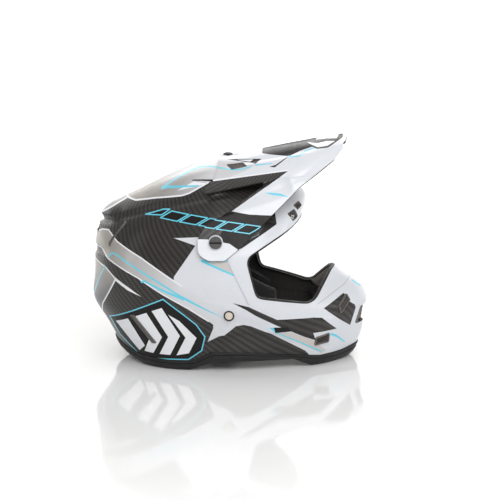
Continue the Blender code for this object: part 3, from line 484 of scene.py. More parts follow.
def moulded(name, colour, roughness=0.55, grain=900.0, depth=0.00012, light=1.6):
    """Spark-textured plastic or rubber."""
    made = Shader(name, Specular_IOR_Level=0.25)
    texture = made.noise(grain, 4.0)
    lighter = tuple(min(c * light, 1.0) for c in colour)
    made.set("Base Color", made.mix(made.span(texture, 0.35, 0.7), colour, lighter))
    made.set("Roughness", made.span(made.noise(60.0), 0.3, 0.7, roughness - 0.08, roughness + 0.08))
    made.bump(texture, depth, 0.8)
    return made


def knit(name, colour, pitch=0.0016):
    """Knitted lining: small rounded cells, soft sheen and wear."""
    made = Shader(name, Roughness=0.85, Sheen_Weight=0.35, Sheen_Roughness=0.5)
    axes = made.axes()
    waves = []
    for index, other in ((0, 2), (1, 2), (2, 0)):
        phase = made.math("MULTIPLY", axes.outputs[index], 2 * math.pi / pitch)
        shift = made.math("MULTIPLY", axes.outputs[other], math.pi / pitch)
        waves.append(made.math("SINE", made.math("ADD", phase, shift)))
    cell = made.math("MULTIPLY", made.math("MULTIPLY", waves[0], waves[1]), waves[2])
    wear = made.span(made.noise(30.0), 0.35, 0.7, 0.0, 0.35)
    share = made.math("ADD", made.span(cell, -1, 1, 0.1, 0.6), wear)
    lighter = tuple(c * 2.6 + 0.008 for c in colour)
    made.set("Base Color", made.mix(share, colour, lighter))
    made.bump(cell, 0.0004, 0.7)
    return made


def webbing(name, colour):
    """Woven nylon: ribs across the strap, rows of yarn along it."""
    made = Shader(name, Roughness=0.6, Sheen_Weight=0.25)
    axes = made.axes()
    along = made.math("ADD", axes.outputs[1], axes.outputs[2])
    yarn = made.math("SINE", made.math("MULTIPLY", axes.outputs[0], 2 * math.pi / 0.0016))
    rib = made.math("SINE", made.math("MULTIPLY", along, 2 * math.pi / 0.0011))
    weave = made.math("MULTIPLY", yarn, rib)
    lighter = tuple(c * 2.4 + 0.01 for c in colour)
    made.set("Base Color", made.mix(made.span(weave, -1, 1), colour, lighter))
    made.bump(weave, 0.0003, 0.7)
    return made


def metal(name, colour, roughness):
    made = Shader(name, Metallic=1.0)
    scratch = made.noise(240.0, 4.0)
    made.set("Base Color", made.mix(made.span(scratch, 0.3, 0.7), tuple(c * 0.86 for c in colour), colour))
    made.set("Roughness", made.span(scratch, 0.3, 0.7, roughness, roughness + 0.16))
    made.bump(scratch, 0.00003, 0.4)
    return made


def foam(name, colour):
    """Moulded bead foam: packed cells with dark joints."""
    made = Shader(name, Roughness=0.8)
    cells = made.node("TexVoronoi", feature="DISTANCE_TO_EDGE")
    cells.inputs["Scale"].default_value = 420.0
    made.feed(cells.inputs["Vector"], made.position())
    share = made.span(cells.outputs[0], 0.0, 0.09)
    made.set("Base Color", made.mix(share, tuple(c * 0.45 for c in colour), colour))
    made.bump(share, 0.0003, 0.6)
    return made


PAINTS = {
    "carbon": carbon("carbon"),
    "white": lacquer("white", (0.655, 0.675, 0.715)),
    "silver": gradient("silver", (0.27, 0.245, 0.215), (0.56, 0.56, 0.575), 0, -0.100, -0.02),
    "band": gradient("band", (0.33, 0.305, 0.27), (0.66, 0.67, 0.70), 0, -0.160, -0.05),
    "slate": gradient("slate", (0.065, 0.075, 0.100), (0.36, 0.34, 0.31), 2, 0.075, 0.122),
    "line": lacquer("line", (0.80, 0.81, 0.84)),
    "cyan": lacquer("cyan", (0.13, 0.60, 0.76)),
    "ink": lacquer("ink", (0.010, 0.009, 0.0088), 0.2, 0.42, 0.05, 0.2),
    "gloss": lacquer("gloss", (0.006, 0.0048, 0.0042), 0.2, 0.3, 0.08, 0.15),
    "beige": lacquer("beige", (0.56, 0.53, 0.51)),
    # grey for the face and chin seam lines: painted shade in the seam grooves
    "seam_groove_shade": lacquer("seam_groove_shade", (0.34, 0.35, 0.38)),
    "liner_side": moulded("liner_side", (0.03, 0.028, 0.027), 0.7, 500.0),
}
PAINT_ORDER = list(PAINTS)
MATERIALS = {
    "rubber": moulded("rubber", (0.016, 0.0155, 0.0155), 0.5, 700.0, 0.00008),
    "vent": moulded("vent", (0.115, 0.106, 0.100), 0.5, 800.0, 0.0002),
    "mesh": moulded("mesh", (0.105, 0.095, 0.088), 0.55, 900.0, 0.0002),
    "screw": moulded("screw", (0.060, 0.059, 0.058), 0.5, 1500.0, 0.0003, 2.4),
    "enamel": lacquer("enamel", (0.66, 0.58, 0.50)),
    "steel": metal("steel", (0.62, 0.62, 0.62), 0.2),
    "brass": metal("brass", (0.72, 0.52, 0.24), 0.3),
    "knit": knit("knit", (0.011, 0.010, 0.010)),
    "suede": knit("suede", (0.020, 0.018, 0.018), 0.0011),
    "webbing": webbing("webbing", (0.012, 0.012, 0.012)),
    "black_foam": foam("black_foam", (0.022, 0.022, 0.022)),
    "grey_foam": foam("grey_foam", (0.16, 0.16, 0.16)),
    "damper": moulded("damper", (0.018, 0.022, 0.028), 0.55, 500.0),
    # lighter than the black foam, for the chin bar foam: painted light on the lit inside of the chin bar
    "lip": moulded("lip", (0.030, 0.026, 0.025), 0.6, 600.0),
    "nose": moulded("nose", (0.44, 0.40, 0.38), 0.7, 600.0, 0.0002, 1.15),
    # light grey for the thin bead round the eyeport trim: painted highlight along the trim's edge
    "highlight_bead": moulded("highlight_bead", (0.34, 0.33, 0.32), 0.4, 600.0, 0.0001, 1.2),
    "thread": moulded("thread", (0.045, 0.045, 0.045), 0.7, 600.0),
}


def give(piece, name):
    piece.data.materials.clear()
    piece.data.materials.append((MATERIALS.get(name) or PAINTS[name]).material)


# ---- making pieces -------------------------------------------------------------------------------
def add_piece(name, mesh, body="shell", slot=None, node=None, material=None, sharp=32):
    made = bpy.data.objects.new(name, mesh)
    SCENE.collection.objects.link(made)
    mesh.shade_smooth()
    mesh.set_sharp_from_angle(angle=math.radians(sharp))
    if material:
        give(made, material)
    if node:
        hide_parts(*([node] if isinstance(node, str) else node))
    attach(made, body)
    return made


def plain_mesh(name, points, faces):
    mesh = bpy.data.meshes.new(name)
    mesh.from_pydata([tuple(float(c) * MM for c in p) for p in points], [], [tuple(map(int, f)) for f in faces])
    mesh.validate()
    return mesh


def outward(mesh):
    bm = bmesh.new()
    bm.from_mesh(mesh)
    bmesh.ops.recalc_face_normals(bm, faces=bm.faces)
    bm.to_mesh(mesh)
    bm.free()
    return mesh


def thick_mesh(name, sheet, thickness, paint, inner_paint):
    """Closed mesh from a sheet, its inner copy and a wall along every edge; paint is per triangle."""
    used, faces = np.unique(sheet.f, return_inverse=True)
    faces = faces.reshape(-1, 3)
    v = sheet.v[used]
    count = len(v)
    trimmed = Sheet(v[:, :3], v[:, 3:6], v[:, 6:8], faces)
    edges = trimmed.boundary()
    inner = v[:, :3] - v[:, 3:6] * thickness
    points = np.vstack((v[:, :3], inner))
    a, b = edges[:, 0], edges[:, 1]
    walls = np.vstack((np.stack((b, a, a + count), 1), np.stack((b, a + count, b + count), 1)))
    every = np.vstack((faces, faces[:, ::-1] + count, walls))
    kinds = np.concatenate((paint, np.full(len(faces), inner_paint), np.full(len(walls), inner_paint)))
    mesh = bpy.data.meshes.new(name)
    mesh.from_pydata((points * MM).tolist(), [], every.tolist())
    for key in PAINT_ORDER:
        mesh.materials.append(PAINTS[key].material)
    mesh.polygons.foreach_set("material_index", kinds.astype(np.int32))
    layer = mesh.uv_layers.new(name="UVMap")
    lengths = np.vstack((v[:, 6:8], v[:, 6:8])) * MM
    layer.data.foreach_set("uv", lengths[every.ravel()].astype(np.float32).ravel())
    return mesh


def grid_faces(rows, columns, closed):
    r, c = np.meshgrid(np.arange(rows - 1), np.arange(columns if closed else columns - 1), indexing="ij")
    d = (c + 1) % columns
    quads = np.stack((r * columns + c, r * columns + d, (r + 1) * columns + d, (r + 1) * columns + c), -1)
    quads = quads.reshape(-1, 4)
    return np.vstack((quads[:, (0, 2, 1)], quads[:, (0, 3, 2)]))


def tree_of(sheet):
    return BVHTree.FromPolygons([tuple(p) for p in sheet.v[:, :3]], [tuple(f) for f in sheet.f])


def step_up(values, low, high):
    share = np.clip((values - low) / (high - low), 0, 1)
    return share * share * (3 - 2 * share)


def line_offset(flat, line):
    """Signed distance of side-view points to a polyline, positive above it, and the share along it."""
    best = np.full(len(flat), 1e9)
    signed = np.zeros(len(flat))
    place = np.zeros(len(flat))
    points = [np.array(p, float) for p in line]
    for k, (a, b) in enumerate(zip(points, points[1:])):
        along = (b - a) / np.linalg.norm(b - a)
        length = np.linalg.norm(b - a)
        s = np.clip((flat - a) @ along, 0, length)
        gap = flat - (a + s[:, None] * along)
        distance = np.hypot(gap[:, 0], gap[:, 1])
        sign = np.sign(along[0] * (flat[:, 1] - a[1]) - along[1] * (flat[:, 0] - a[0]))
        closer = distance < best
        best = np.where(closer, distance, best)
        signed = np.where(closer, distance * sign, signed)
        place = np.where(closer, (k + s / length) / (len(points) - 1), place)
    return signed, place


def bump_of(signed, width):
    return np.exp(-(signed / width) ** 2)


# ---- outer shell ---------------------------------------------------------------------------------
FACE_SEAM = ((3.3, 144.6), (11.8, 126.4), (25.0, 98.5), (29.1, 88.6))
CHIN_SEAM = ((158, 106), (149.2, 98.8), (131, 90), (114.6, 82.4))
CROWN_CREASE = ((-150, 186), (-101, 201.6), (-34.7, 218.6), (10, 226), (60, 232))
SKIRT_CREASE = ((-70, 30), (-21, 39.5), (-1.1, 46), (27.4, 51.2), (60, 50), (96, 30))
CHEEK_CREASE = ((-60, 96), (-2, 92), (30, 84), (64, 67), (120, 66), (160, 58))


def shell_relief(p):
    """Height of the moulded steps and creases over the smooth surface."""
    flat = p[:, (0, 2)]
    height = np.zeros(len(p))
    front = step_up(flat[:, 0] - np.interp(flat[:, 1], (88, 145), (29, 3)), -1.0, 2.2)
    height += 1.0 * front * step_up(flat[:, 1], 60, 80) * (1 - step_up(flat[:, 1], 150, 168))
    above, place = line_offset(flat, CROWN_CREASE)
    fade = step_up(place, 0.0, 0.12) * (1 - step_up(place, 0.62, 0.8)) * (abs(above) < 40)
    ledge = 1.6 * step_up(above, -1.2, 1.2) * (1 - step_up(above, 12, 34))
    height += fade * (ledge - 1.2 * bump_of(above + 3.5, 2.6))
    above, place = line_offset(flat, SKIRT_CREASE)
    fade = step_up(place, 0.02, 0.3) * (1 - step_up(place, 0.9, 1.0)) * (abs(above) < 30)
    height -= fade * 1.5 * step_up(-above, -1.0, 1.6) * (1 - step_up(-above, 10, 24))
    above, place = line_offset(flat, CHEEK_CREASE)
    fade = step_up(place, 0.05, 0.35) * (1 - step_up(place, 0.85, 1.0)) * (abs(above) < 30)
    height += fade * 1.1 * step_up(-above, -1.2, 1.8) * (1 - step_up(-above, 8, 22))
    rear = 1 - step_up(flat[:, 0], -152, -140)
    height -= rear * 3.6 * bump_of(flat[:, 1] - 180.5, 3.2) * (1 - step_up(abs(p[:, 1]), 30, 52))
    lip = (1 - step_up(flat[:, 0], -150, -132)) * (1 - step_up(abs(p[:, 1]), 42, 72))
    height += lip * 4.8 * step_up(flat[:, 1], 183.6, 185.4) * (1 - step_up(flat[:, 1], 191, 214))
    height -= rear * 2.2 * step_up(flat[:, 1], 134, 140) * (1 - step_up(flat[:, 1], 146, 150)) * \
        (1 - step_up(abs(p[:, 1]), 40, 75))
    return height


def build_shell_sheet():
    columns, rows = 320, 200
    t = np.arange(columns) * 10.0 / columns
    v = np.concatenate((np.linspace(0.04, 0.5, 8)[:-1], np.linspace(0.5, 11.0, rows - 7)))
    tt, vv = np.meshgrid(t, v)
    points = shell_surface(tt, vv)
    normals = normals_of(shell_surface, tt, vv, -1)
    across = np.cumsum(np.linalg.norm(np.diff(points[100], axis=0, append=points[100][:1]), axis=1))
    down = np.cumsum(np.linalg.norm(np.diff(points, axis=0, prepend=points[:1]), axis=2), axis=0)
    lengths = np.stack((np.broadcast_to(across, down.shape), down), -1).reshape(-1, 2)
    points, normals = points.reshape(-1, 3), normals.reshape(-1, 3)
    points = points + normals * shell_relief(points)[:, None]
    faces = grid_faces(rows, columns, True)
    pole = len(points)
    points = np.vstack((points, np.array([CROWN])))
    normals = np.vstack((normals, np.array([[0.0, 0.0, 1.0]])))
    lengths = np.vstack((lengths, lengths[:1] * 0))
    fan = np.array([(pole, c, (c + 1) % columns) for c in range(columns)])
    faces = np.vstack((faces, fan))
    face_normals = np.cross(points[faces[:, 1]] - points[faces[:, 0]], points[faces[:, 2]] - points[faces[:, 0]])
    wrong = (face_normals * normals[faces[:, 0]]).sum(axis=1) < 0
    faces[wrong] = faces[wrong][:, ::-1]
    return Sheet(points, normals, lengths, faces)


SMOOTH = build_shell_sheet()
SHELL_TREE = tree_of(SMOOTH)


def shell_hit(origin, direction):
    hit, normal, _, _ = SHELL_TREE.ray_cast(Vector(origin), Vector(direction))
    if normal.dot(Vector(direction)) > 0:
        normal.negate()
    return hit, normal


def frame_at(origin, normal, along):
    across = normal.cross(along).normalized()
    along = across.cross(normal).normalized()
    turn = Matrix((along, across, normal)).transposed().to_4x4()
    return Matrix.Translation(Vector(origin) * MM) @ turn


def axis_frame(origin, axis):
    return Matrix.Translation(Vector(origin) * MM) @ Vector(axis).to_track_quat("Z", "Y").to_matrix().to_4x4()


def frame_from_side(x, z, lean, side):
    hit, normal = shell_hit((x, side * 300, z), (0, -side, 0))
    return frame_at(hit, normal, Vector((math.cos(math.radians(lean)), 0, math.sin(math.radians(lean)))))


def frame_from_front(y, z, side):
    hit, normal = shell_hit((400, y, z), (-1, 0, 0))
    return frame_at(hit, normal, Vector((0, side, 0)))


def blade(length, width):
    return (
        (-length / 2, -width / 2, 1.2), (length / 2 - 4, -width / 2, 1.2), (length / 2, width / 2, 1.2),
        (-length / 2 + 4, width / 2, 1.2),
    )


VENTS = []
for side_name, side in SIDES:
    VENTS += [
        (f"exhaust_upper_{side_name}", frame_from_side(-139, 170, 51, side), blade(42, 5), side),
        (f"exhaust_lower_{side_name}", frame_from_side(-104, 52, -51, side), blade(50, 6), side),
        (f"brow_vent_outer_{side_name}", frame_from_front(side * 69, 194, side),
         ((-8, -6, 2), (8, -6, 2), (6, 6, 2), (-10, 6, 2)), side),
        (f"brow_vent_inner_{side_name}", frame_from_front(side * 52, 204, side),
         ((-8, -4, 1.5), (8, -4, 1.5), (6, 4, 1.5), (-10, 4, 1.5)), side),
        (f"chin_vent_upper_{side_name}", frame_from_side(149, 79, 43, side),
         ((-15, -6.0, 2), (10, -6.0, 2), (16, 4.0, 2), (-10, 5.5, 2)), side),
        (f"chin_vent_lower_{side_name}", frame_from_side(121, 36, 8, side),
         ((-13, -5, 2.5), (9, -9, 2.5), (13, 4, 2.5), (-9, 6.5, 2.5)), side),
    ]


def rear_frame():
    hit, normal = shell_hit((-400, 0, 171), (1, 0, 0))
    return frame_at(hit, normal, Vector((0, -1, 0)))


REAR_VENT = rounded(((-26, -5, 2), (26, -5, 2), (20, 5, 2), (-20, 5, 2)), 4)


def vent_outline(outline, side):
    """The outline with rounded corners, mirrored on the left side."""
    if side > 0:
        outline = tuple((u, -w, radius) for u, w, radius in reversed(outline))
    return rounded(outline, 3)


# ---- printed panels of the shell, as seen from the side ------------------------------------------
CROWN_EDGE = ((-134, 211.5), (-129, 209.9), (-117, 208.6), (-88.8, 214.3), (-55.2, 219.1), (-45.5, 222.4),
              (-21.9, 235.5))
BAND_TOP = ((-200, 161), (-176, 163.5), (-170, 165.6), (-160, 170.5), (-150.9, 171.7), (-137.7, 160.4),
            (-104.4, 143.9), (-65.4, 119.6), (-52.7, 111.7))
BAND_LOW = ((-200, 146), (-176.4, 146.9), (-161.7, 148.3), (-151.1, 137.8), (-109.4, 119.5), (-78.5, 101),
            (-45.2, 83.1), (-20.1, 66.8))
PANEL_TOP = ((-200, 133), (-175.3, 131.7), (-154.1, 125.9), (-138.9, 113.9))
PANEL_FRONT = ((-138.9, 113.9), (-148.8, 96), (-160.3, 76), (-164, 60))
WHITE_AREA = (
    (-63.5, 169.9), (-29.8, 172), (-10, 180), (13.6, 161.5), (63.2, 185.6), (60, 205), (72, 240), (220, 262),
    (220, -20), (108, -20), (104, 17), (99.1, 22.5), (93.2, 26.4), (55.9, 49.2), (31.8, 60.4), (22.6, 62.5),
    (13.4, 60.8), (-1.1, 48.4), (-7.8, 47.2), (-22.3, 39.1), (-14.8, 57.5), (-14.7, 62.6), (-20.1, 66.8),
    (-45.2, 83.1), (-60, 92), (-52.7, 111.7), (-63, 118.5), (-62.9, 123.2), (-36.2, 161.8),
)


def cubic(points, steps=6):
    """Smooth line through points."""
    points = [Vector((*p, 0)) for p in points]
    made = []
    for k in range(len(points) - 1):
        before, after = points[max(k - 1, 0)], points[min(k + 2, len(points) - 1)]
        a, b = points[k], points[k + 1]
        arc = interpolate_bezier(a, a + (b - before) / 6, b - (after - a) / 6, b, steps + 1)
        made += [(p.x, p.y) for p in arc[:-1]]
    return made + [(points[-1].x, points[-1].y)]


def slanted_bars():
    """Row of open slanted bars along the temple, each shorter than the one behind it."""
    made = [[(-101, 195.0), (-80, 195.8), (-70, 202.8), (-78, 202.2)]]
    start, end = np.array((-77.5, 197.2)), np.array((37.5, 181.6))
    shares = (0.0, 0.215, 0.42, 0.62, 0.81, 1.0)
    for a, b in zip(shares, shares[1:]):
        low, high = start + (end - start) * (a + 0.028), start + (end - start) * b
        half = np.array((7.2, 4.2))
        made.append([tuple(low - half), tuple(high - half), tuple(high + half), tuple(low + half)])
    return made


SHARDS = (
    ((-142, 56), (-124, 64), (-103, 29), (-111, 20)),
    ((-117, 67), (-99, 74.5), (-80, 43), (-92, 20), (-104, 21), (-96, 41)),
    ((-92, 77.5), (-79, 82.5), (-57, 46), (-70, 19.5), (-84, 19.5), (-72, 44)),
    ((-71, 74), (-57, 66), (-36, 44), (-46, 23), (-62, 19.5), (-50, 44)),
)
SHARD_HULL = (
    (-151, 60), (-77, 94), (-52, 75), (-36, 62), (-25.5, 46), (-30, 27), (-47, 14.5), (-98, 12.5), (-104, 7),
    (-139, 37),
)


def shell_panels():
    """Layers of paint from the bottom up: paint name and outlines."""
    bars = slanted_bars()
    return [
        ("silver", [CROWN_EDGE + ((-8, 240), (40, 246), (80, 300), (-134, 300))]),
        ("silver", [((-129, 209.5), (-168, 187.4), (-195, 187.4), (-195, 232), (-129, 232))]),
        ("line", [stripe(((-192, 187.4), (-168, 187.4), (-130, 209.5)), 1.6), stripe(CROWN_EDGE, 1.7)]),
        ("ink", [stripe(((-43, 236.9), (-30, 237.6), (-17, 237.6)), 1.2, 2.2)]),
        ("line", [((-62, 224), (-24, 234), (-41, 235.6))]),
        ("cyan", [stripe(cubic(((-81.4, 226), (-64.8, 237.1), (-40.1, 249.1), (-22, 251.8), (4.8, 250.3))), 1.9, 1.2),
                  stripe(((-83.2, 225), (-74.6, 227.3), (-34.2, 231.2)), 3.2, 1.6)]),
        ("line", [stripe(PANEL_TOP, 1.9), stripe(PANEL_FRONT, 1.9)]),
        ("slate", [PANEL_TOP + PANEL_FRONT[1:] + ((-200, 55),)]),
        ("line", [stripe(PANEL_TOP, 1.8), stripe(PANEL_FRONT, 1.8),
                  ((-139, 115.5), (-121.4, 105.8), (-104.8, 95.4), (-123, 102.2), (-139.5, 111.8))]),
        ("cyan", [stripe(((-154.5, 127), (-165.1, 109), (-171.4, 92.9), (-178, 76)), 1.6)]),
        ("white", [WHITE_AREA]),
        ("band", [BAND_TOP + ((-36, 101), (5, 76), (8, 66), (-7.8, 47.2), (-22.3, 39.1), (-14.8, 57.5), (-14.7, 62.6))
                  + BAND_LOW[::-1]]),
        ("carbon", [cubic(((-45.2, 82), (-20.1, 65.8), (-16.2, 62.0), (-16.2, 57.6), (-22, 52), (-27, 44), (-30, 38)))
                    + [(-60, 38), (-60, 80)]]),
        ("line", [stripe(BAND_TOP, 1.7), stripe(BAND_LOW, 1.7)]),
        ("cyan", [stripe(cubic(((-149.7, 138.6), (-145.5, 144), (-139.9, 145.1), (-129.9, 140.4), (-104.4, 127.1),
                                (-78.3, 112.9))) + [(-52.9, 97.8)], 1.9, 2.3),
                  stripe(((-52.9, 97.8), (-27.7, 84.5), (-3.4, 72.6)), 3.6, 0.5),
                  stripe(((-105, 114.2), (-100.3, 115.8), (-81.6, 107.1), (-50, 95)), 2.4, 3.4)]),
        ("carbon", [((-200, 175), (-176, 172), (-168, 171), (-163.5, 174), (-166, 182), (-169, 190), (-200, 195))]),
        ("beige", [((-27.1, 144.1), (2.6, 144.6), (11.1, 127.1), (-8.6, 135.5))]),
        ("cyan", [stripe(((-29, 144.4), (3.0, 144.8)), 2.4),
                  stripe(((-29, 144.2), (-8.6, 135.5), (11.8, 126.8)), 3.0, 2.2)]),
        # Thin grey lines along the face and chin seams: painted shade in the grooves, which the mesh is too coarse to
        # carve.
        ("seam_groove_shade", [stripe(FACE_SEAM, 0.6), stripe(CHIN_SEAM, 0.6)]),
        ("carbon", [((9.5, 91.6), (30.5, 85.6), (64.4, 67.4), (110.3, 66.4), (120.5, 65.0), (139.8, 47), (120, 45.8),
                     (109.6, 45.6), (113, 35), (97.5, 42), (64.4, 59.5), (40.3, 73.0), (24.9, 83.0))]),
        ("ink", [((58.7, 57.5), (77.3, 56.5), (82.3, 50.4), (61.6, 49.6))]),
        ("beige", [((64.4, 49.4), (83, 48.8), (107.7, 36.9), (127, 19), (119.6, 16), (106.3, 24.9))]),
        ("cyan", [((54.5, 57.4), (60, 57.6), (62.5, 49.8)), stripe(((64, 49.6), (90, 36.5), (121, 18)), 1.4, 1.8),
                  stripe(((131.9, 41.1), (140.2, 36.2), (151.1, 25)), 3.4, 1.4)]),
        ("carbon", [((122.7, 76.3), (148.2, 89.8), (152.7, 86), (156.3, 79.3), (163.3, 73.8), (164.6, 69.8),
                     (157.5, 47.2), (139.8, 62))]),
        ("ink", [((13.6, 161.5), (20, 158.7), (63.2, 185.6), (51.8, 189.5), (41.5, 174.8))]),
        ("cyan", [stripe(((160, 101.5), (171, 93.5)), 1.3)]),
        ("ink", [SHARD_HULL]),
        ("cyan", ring_stripe(SHARD_HULL, 1.5)),
        ("line", list(SHARDS)),
        ("ink", bars),
        ("cyan", [band for bar in bars for band in ring_stripe(bar, 1.25)]),
    ]


def paint_sheet(sheet, layers, base):
    """Scores the sheet along every printed outline, then says which paint each triangle has."""
    for _, outlines in layers:
        for outline in outlines:
            sheet.score(side_view, outline)
    centres = side_view(sheet.centres())
    kinds = np.full(len(sheet.f), PAINT_ORDER.index(base))
    for key, outlines in layers:
        for outline in outlines:
            kinds[inside(centres, outline)] = PAINT_ORDER.index(key)
    return kinds


def circle(radius, count=40):
    return [(radius * math.cos(2 * math.pi * k / count), radius * math.sin(2 * math.pi * k / count))
            for k in range(count)]


MOUTH = ((-31, 47, 4), (31, 47, 4), (25, 70, 4), (-25, 70, 4))


def build_shell():
    sheet = Sheet(SMOOTH.v[:, :3], SMOOTH.v[:, 3:6], SMOOTH.v[:, 6:8], SMOOTH.f)
    port = rounded(EYEPORT, 8)
    sheet.score(side_view, port)
    centres = sheet.centres()
    sheet.keep(~inside(side_view(centres), port))
    sheet.score(side_view, ((-260, 27),) + TRIM_TOP + ((260, 30),), closed=False)
    centres = sheet.centres()
    sheet.keep(centres[:, 2] > np.interp(centres[:, 0], *zip(*TRIM_TOP)))
    holes = [(frame, vent_outline(outline, side)) for _, frame, outline, side in VENTS]
    holes.append((rear_frame(), REAR_VENT))
    for _, side in SIDES:
        for (x, z), radius in ((PIVOT, 3.4), (RIVET, 3.0)):
            hit, _ = shell_hit((x, side * 300, z), (0, -side, 0))
            holes.append((axis_frame(hit, (0, side, 0)), circle(radius, 24)))
    for frame, outline in holes:
        cut_hole(sheet, *frame_view(frame), outline)
    cut_hole(sheet, lambda v: v[:, (1, 2)], lambda v: v[:, 0] > 100, rounded(MOUTH, 6))
    return sheet


def cut_hole(sheet, flat, near, outline):
    sheet.score(flat, outline, mask=near)
    centres = sheet.centres()
    sheet.keep(~(inside(flat(centres), outline) & near(centres)))


shell_sheet = build_shell()
shell_paint = paint_sheet(shell_sheet, shell_panels(), "carbon")
shell_mesh = thick_mesh("helmet_shell", shell_sheet, 3.4, shell_paint, PAINT_ORDER.index("liner_side"))
add_piece("helmet_shell", shell_mesh, "shell", "painted_white", "outer_shell", sharp=40)


# ---- peak ----------------------------------------------------------------------------------------
def peak_relief(p):
    flat = p[:, (0, 2)]
    height = np.zeros(len(p))
    height += 1.6 * bump_of(p[:, 1], 5.0) * step_up(flat[:, 0], 10, 60)
    above, place = line_offset(flat, ((-60, 205), (-37, 208), (65, 242.2), (80, 248)))
    fade = step_up(place, 0.2, 0.36) * (1 - step_up(place, 0.78, 0.98))
    height -= fade * 2.4 * step_up(-above, -0.7, 0.7) * (1 - step_up(-above, 10, 24))
    height -= 1.2 * (1 - step_up(abs(p[:, 0] + 1), 12.6, 14.0)) * (1 - step_up(abs(p[:, 1]), 7.4, 8.8))
    above, place = line_offset(flat, ((60, 236), (77.8, 242.5), (108.9, 245.8), (128, 258)))
    fade = step_up(place, 0.1, 0.3) * (1 - step_up(place, 0.75, 1.0)) * (abs(above) < 30)
    height += fade * 1.1 * step_up(-above, -0.8, 0.8) * (1 - step_up(-above, 6, 14))
    above, place = line_offset(flat, ((-14, 250), (26, 259), (70, 267), (130, 281)))
    fade = step_up(place, 0.02, 0.2) * (1 - step_up(place, 0.8, 1.0)) * (abs(above) < 40)
    height -= fade * 1.2 * bump_of(above, 2.2)
    return height


def build_peak_sheet():
    along, across = np.linspace(0, 6, 170), np.linspace(-4, 4, 200)
    ss, cc = np.meshgrid(along, across, indexing="ij")
    points = peak_surface(ss, cc)
    normals = normals_of(peak_surface, ss, cc, 1)
    down = np.cumsum(np.linalg.norm(np.diff(points, axis=0, prepend=points[:1]), axis=2), axis=0)
    over = np.cumsum(np.linalg.norm(np.diff(points, axis=1, prepend=points[:, :1]), axis=2), axis=1)
    lengths = np.stack((down, over), -1).reshape(-1, 2)
    points, normals = points.reshape(-1, 3), normals.reshape(-1, 3)
    middle = len(points) // 2
    if normals[middle, 2] < 0:
        normals = -normals
    points = points + normals * peak_relief(points)[:, None]
    faces = grid_faces(len(along), len(across), False)
    face_normals = np.cross(points[faces[:, 1]] - points[faces[:, 0]], points[faces[:, 2]] - points[faces[:, 0]])
    wrong = (face_normals * normals[faces[:, 0]]).sum(axis=1) < 0
    faces[wrong] = faces[wrong][:, ::-1]
    return Sheet(points, normals, lengths, faces)


peak_sheet = build_peak_sheet()
PEAK_TREE = tree_of(peak_sheet)


def frame_on_peak(x, y):
    hit, normal, _, _ = PEAK_TREE.ray_cast(Vector((x, y, 500)), Vector((0, 0, -1)))
    if normal.z < 0:
        normal.negate()
    return frame_at(hit, normal, Vector((1, 0, 0)))


def intake_corners(side):
    corners = ((-13, -8 * side, 1.5), (8, -9 * side, 1.5), (14, 6 * side, 1.5), (-6, 9 * side, 1.5))
    return corners[::-1] if side < 0 else corners


PEAK_PANELS = [
    ("carbon", [((-60, 200), (-45, 199), (-36, 207), (-15.4, 237.8), (76.9, 251), (64.9, 242.4), (8.4, 203.7),
                 (51.5, 196.5), (75, 195), (60, 175), (20, 158), (6, 165.5), (-2.1, 166.8), (-21.2, 170.4),
                 (-60, 171))]),
    ("carbon", [((-60, 190), (-60, 237.6), (-15.4, 237.8), (76.9, 251), (64.9, 242.4), (8.4, 203.7), (-5, 197))]),
    # Black stripe along the lower edge of the flange: painted shadow in the gap under the crease.
    ("ink", [((-60, 200), (-37, 207.2), (-10, 216.5), (30, 229.5), (70, 245), (64.9, 242.4), (50, 232), (8, 219),
              (-37, 204))]),
    ("gloss", [((-11, 195), (2, 201.5), (10, 203.2), (30, 200), (60, 199), (75, 196), (60, 172), (20, 156),
                (6, 165.5), (-1, 167.2), (-6, 174), (-2, 183))]),
    ("line", [stripe(((-50, 238.0), (-14.5, 238.2), (77.5, 251.8)), 1.3)]),
    ("silver", [((-30, 238.5), (-15, 239.4), (6, 243), (24, 249.5), (36, 256), (16, 258), (-1, 259), (-30, 258))]),
    ("ink", [((43.7, 267.9), (56.3, 267.1), (74.1, 266.4), (77.6, 266), (91.6, 272.2), (108, 277.5), (112, 292),
              (43, 282)), ((53.3, 254.7), (60.5, 254.4), (77.6, 266.3), (75.9, 266), (61.1, 256.9)),
             # Black wedge beside the top tongue: painted shadow in the gap under the raised tongue.
             ((-0.8, 259.9), (11.7, 260.9), (43.2, 262.3), (36.4, 257.3), (15.6, 258.9))]),
    ("line", [((12, 260.0), (33, 261.3), (29, 258.8))]),
    ("ink", [((97, 280.5), (113, 275.2), (127, 277.2), (147, 288.4), (146, 292), (108, 292))]),
    ("line", [((101, 281), (113.5, 276.8), (126.2, 278.8), (136, 284), (125, 283.4), (114, 281)),
              ((112, 283.6), (126, 285.8), (138, 286.6), (142, 290), (118, 290))]),
    ("cyan", [stripe(((75.8, 265.6), (90.7, 267.5), (98.7, 272.5), (110, 276)), 1.5, 1.2),
              stripe(((35.6, 255.8), (57.5, 258.3)), 1.4, 0.9),
              ((46.9, 225.8), (67.6, 224.6), (80, 220.6), (67, 222.2), (58, 222.8)),
              stripe(cubic(((-30, 251), (-10, 251.5), (12, 250.2), (30, 254))), 1.4)]),
    ("ink", slanted_bars()),
    ("cyan", [band for bar in slanted_bars() for band in ring_stripe(bar, 1.25)]),
]


